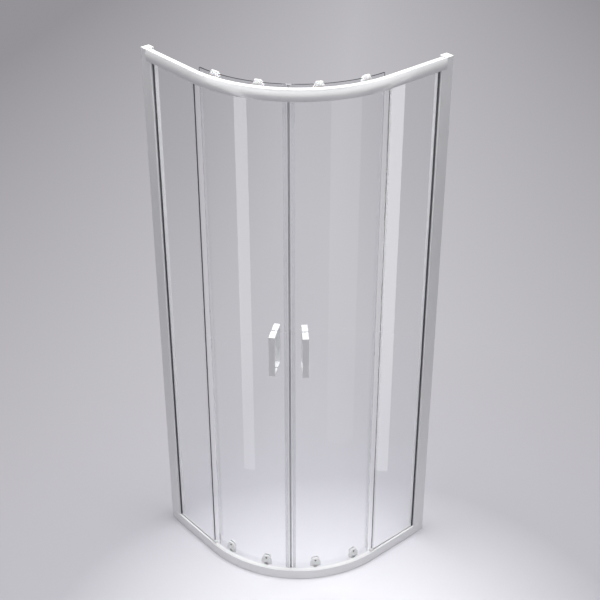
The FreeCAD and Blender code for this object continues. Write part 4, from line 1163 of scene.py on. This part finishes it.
def stage_floor():
    """A pale floor that fades into the background far away.  The far part shows its own tone to the
    camera, also in or through something, and lights nothing."""
    stage = settings().stage
    mesh = bmesh.new()
    bmesh.ops.create_circle(mesh, cap_ends=True, segments=FLOOR_SEGMENTS, radius=stage.floor_size)
    made = Finish("stage_floor")
    place = made.place()
    reach = made.node("VectorMath", {0: place, 1: stage.floor_middle}, 1, operation="DISTANCE")
    x, y = (made.node("SeparateXYZ", {"Vector": place}, axis) for axis in (0, 1))
    across = (x + y).sum("ABSOLUTE", 0.0)
    # Painted pool of light: the floor's colour falls from pale to dim away from the pool's middle, painting shade
    # on the floor inside the enclosure
    pool_falloff = ((reach - stage.near_reach) / (stage.round_reach - stage.near_reach)).clipped()
    far = ((reach - stage.round_reach) / (stage.far_reach - stage.round_reach)).clipped()
    # Painted brightness of the far floor: darker towards the sides of the view and a little darker further away
    pale = (across * -FAR_ACROSS + FAR_START + (x - y) * FAR_ALONG).clipped()
    near = made.surface(Base_Color=made.blend(pool_falloff, stage.floor_near, stage.floor_round), Roughness=0.85,
                        Specular_IOR_Level=0.1)
    tone = made.blend(pale, stage.far_dark, stage.far_pale)
    backdrop = made.node("Emission", {"Color": tone})
    seen = (made.ray("Camera") + made.ray("Glossy") + made.ray("Transmission")).clipped()
    made.finish(made.mixed(far * seen, near, backdrop))
    data = finished(mesh, "floor")
    data.materials.append(Finish.made["stage_floor"])
    floor = linked("floor", data)


def fade_downwards(data):
    """Make a lamp weaker towards its lower end."""
    glow = Nodes(data, "Light")
    place = glow.node("NewGeometry", result="Parametric")
    level = glow.node("SeparateXYZ", {"Vector": place}, "Y")
    strength = glow.node("MapRange", {"Value": level, "To Min": LOWER_GLOW})
    glow.finish(glow.node("Emission", {"Strength": strength}))


def lamp(name, place, target, width, height, radiance, reflection_only):
    data = bpy.data.lights.new(name, "AREA")
    data.shape = "RECTANGLE"
    data.size, data.size_y = width, height
    data.energy = radiance * math.pi * width * height
    if reflection_only:
        fade_downwards(data)
    item = linked(name, data)
    item.location = place
    item.rotation_euler = (Vector(target) - Vector(place)).to_track_quat("-Z", "Y").to_euler()
    item.visible_camera = item.visible_transmission = False
    item.visible_diffuse = not reflection_only


def air():
    """An even light all round, and the far floor's tone where the camera or the glass sees past it."""
    world = bpy.context.scene.world = bpy.data.worlds.new("air")
    sky = Nodes(world, "World")
    past = sky.ray("Camera").sum("MAXIMUM", sky.ray("Transmission"))
    fill = sky.node("Background", {"Color": AIR_TONE, "Strength": AIR_STRENGTH})
    seen = sky.node("Background", {"Color": settings().stage.far_pale})
    sky.finish(sky.mixed(past, fill, seen))


@step
def make_stage():
    """Lay the floor, hang the lamps and set up the camera"""
    stage = settings().stage
    stage_floor()
    for row in LAMPS:
        lamp(*row)
    air()
    data = bpy.data.cameras.new("camera")
    data.sensor_width = 36.0
    data.lens = stage.lens
    camera = linked("camera", data)
    camera.location = stage.camera_place
    camera.rotation_euler = [math.radians(degrees) for degrees in (
        QUARTER_TURN - stage.camera_pitch, stage.camera_roll, stage.camera_heading)]
    bpy.context.scene.camera = camera
    bpy.context.scene.view_settings.view_transform = "Standard"


class ENCLOSURE_PT_panel(Panel):
    """The enclosure's steps"""

    bl_idname = "ENCLOSURE_PT_panel"
    bl_label = "Shower Enclosure"
    bl_space_type = "VIEW_3D"
    bl_region_type = "UI"
    bl_category = "Enclosure"

    def draw(self, context):
        for item in STEPS:
            self.layout.operator(item.bl_idname)


CLASSES = (*GROUPS.values(), EnclosureSettings, *STEPS, ENCLOSURE_PT_panel)


def register():
    for item in CLASSES:
        bpy.utils.register_class(item)
    bpy.types.Scene.enclosure = PointerProperty(type=EnclosureSettings)


def unregister():
    del bpy.types.Scene.enclosure
    for item in reversed(CLASSES):
        bpy.utils.unregister_class(item)


def main():
    register()
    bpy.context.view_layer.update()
    for item in STEPS:
        getattr(bpy.ops.enclosure, item.bl_idname.split(".")[1])()


if __name__ == "__main__":
    main()
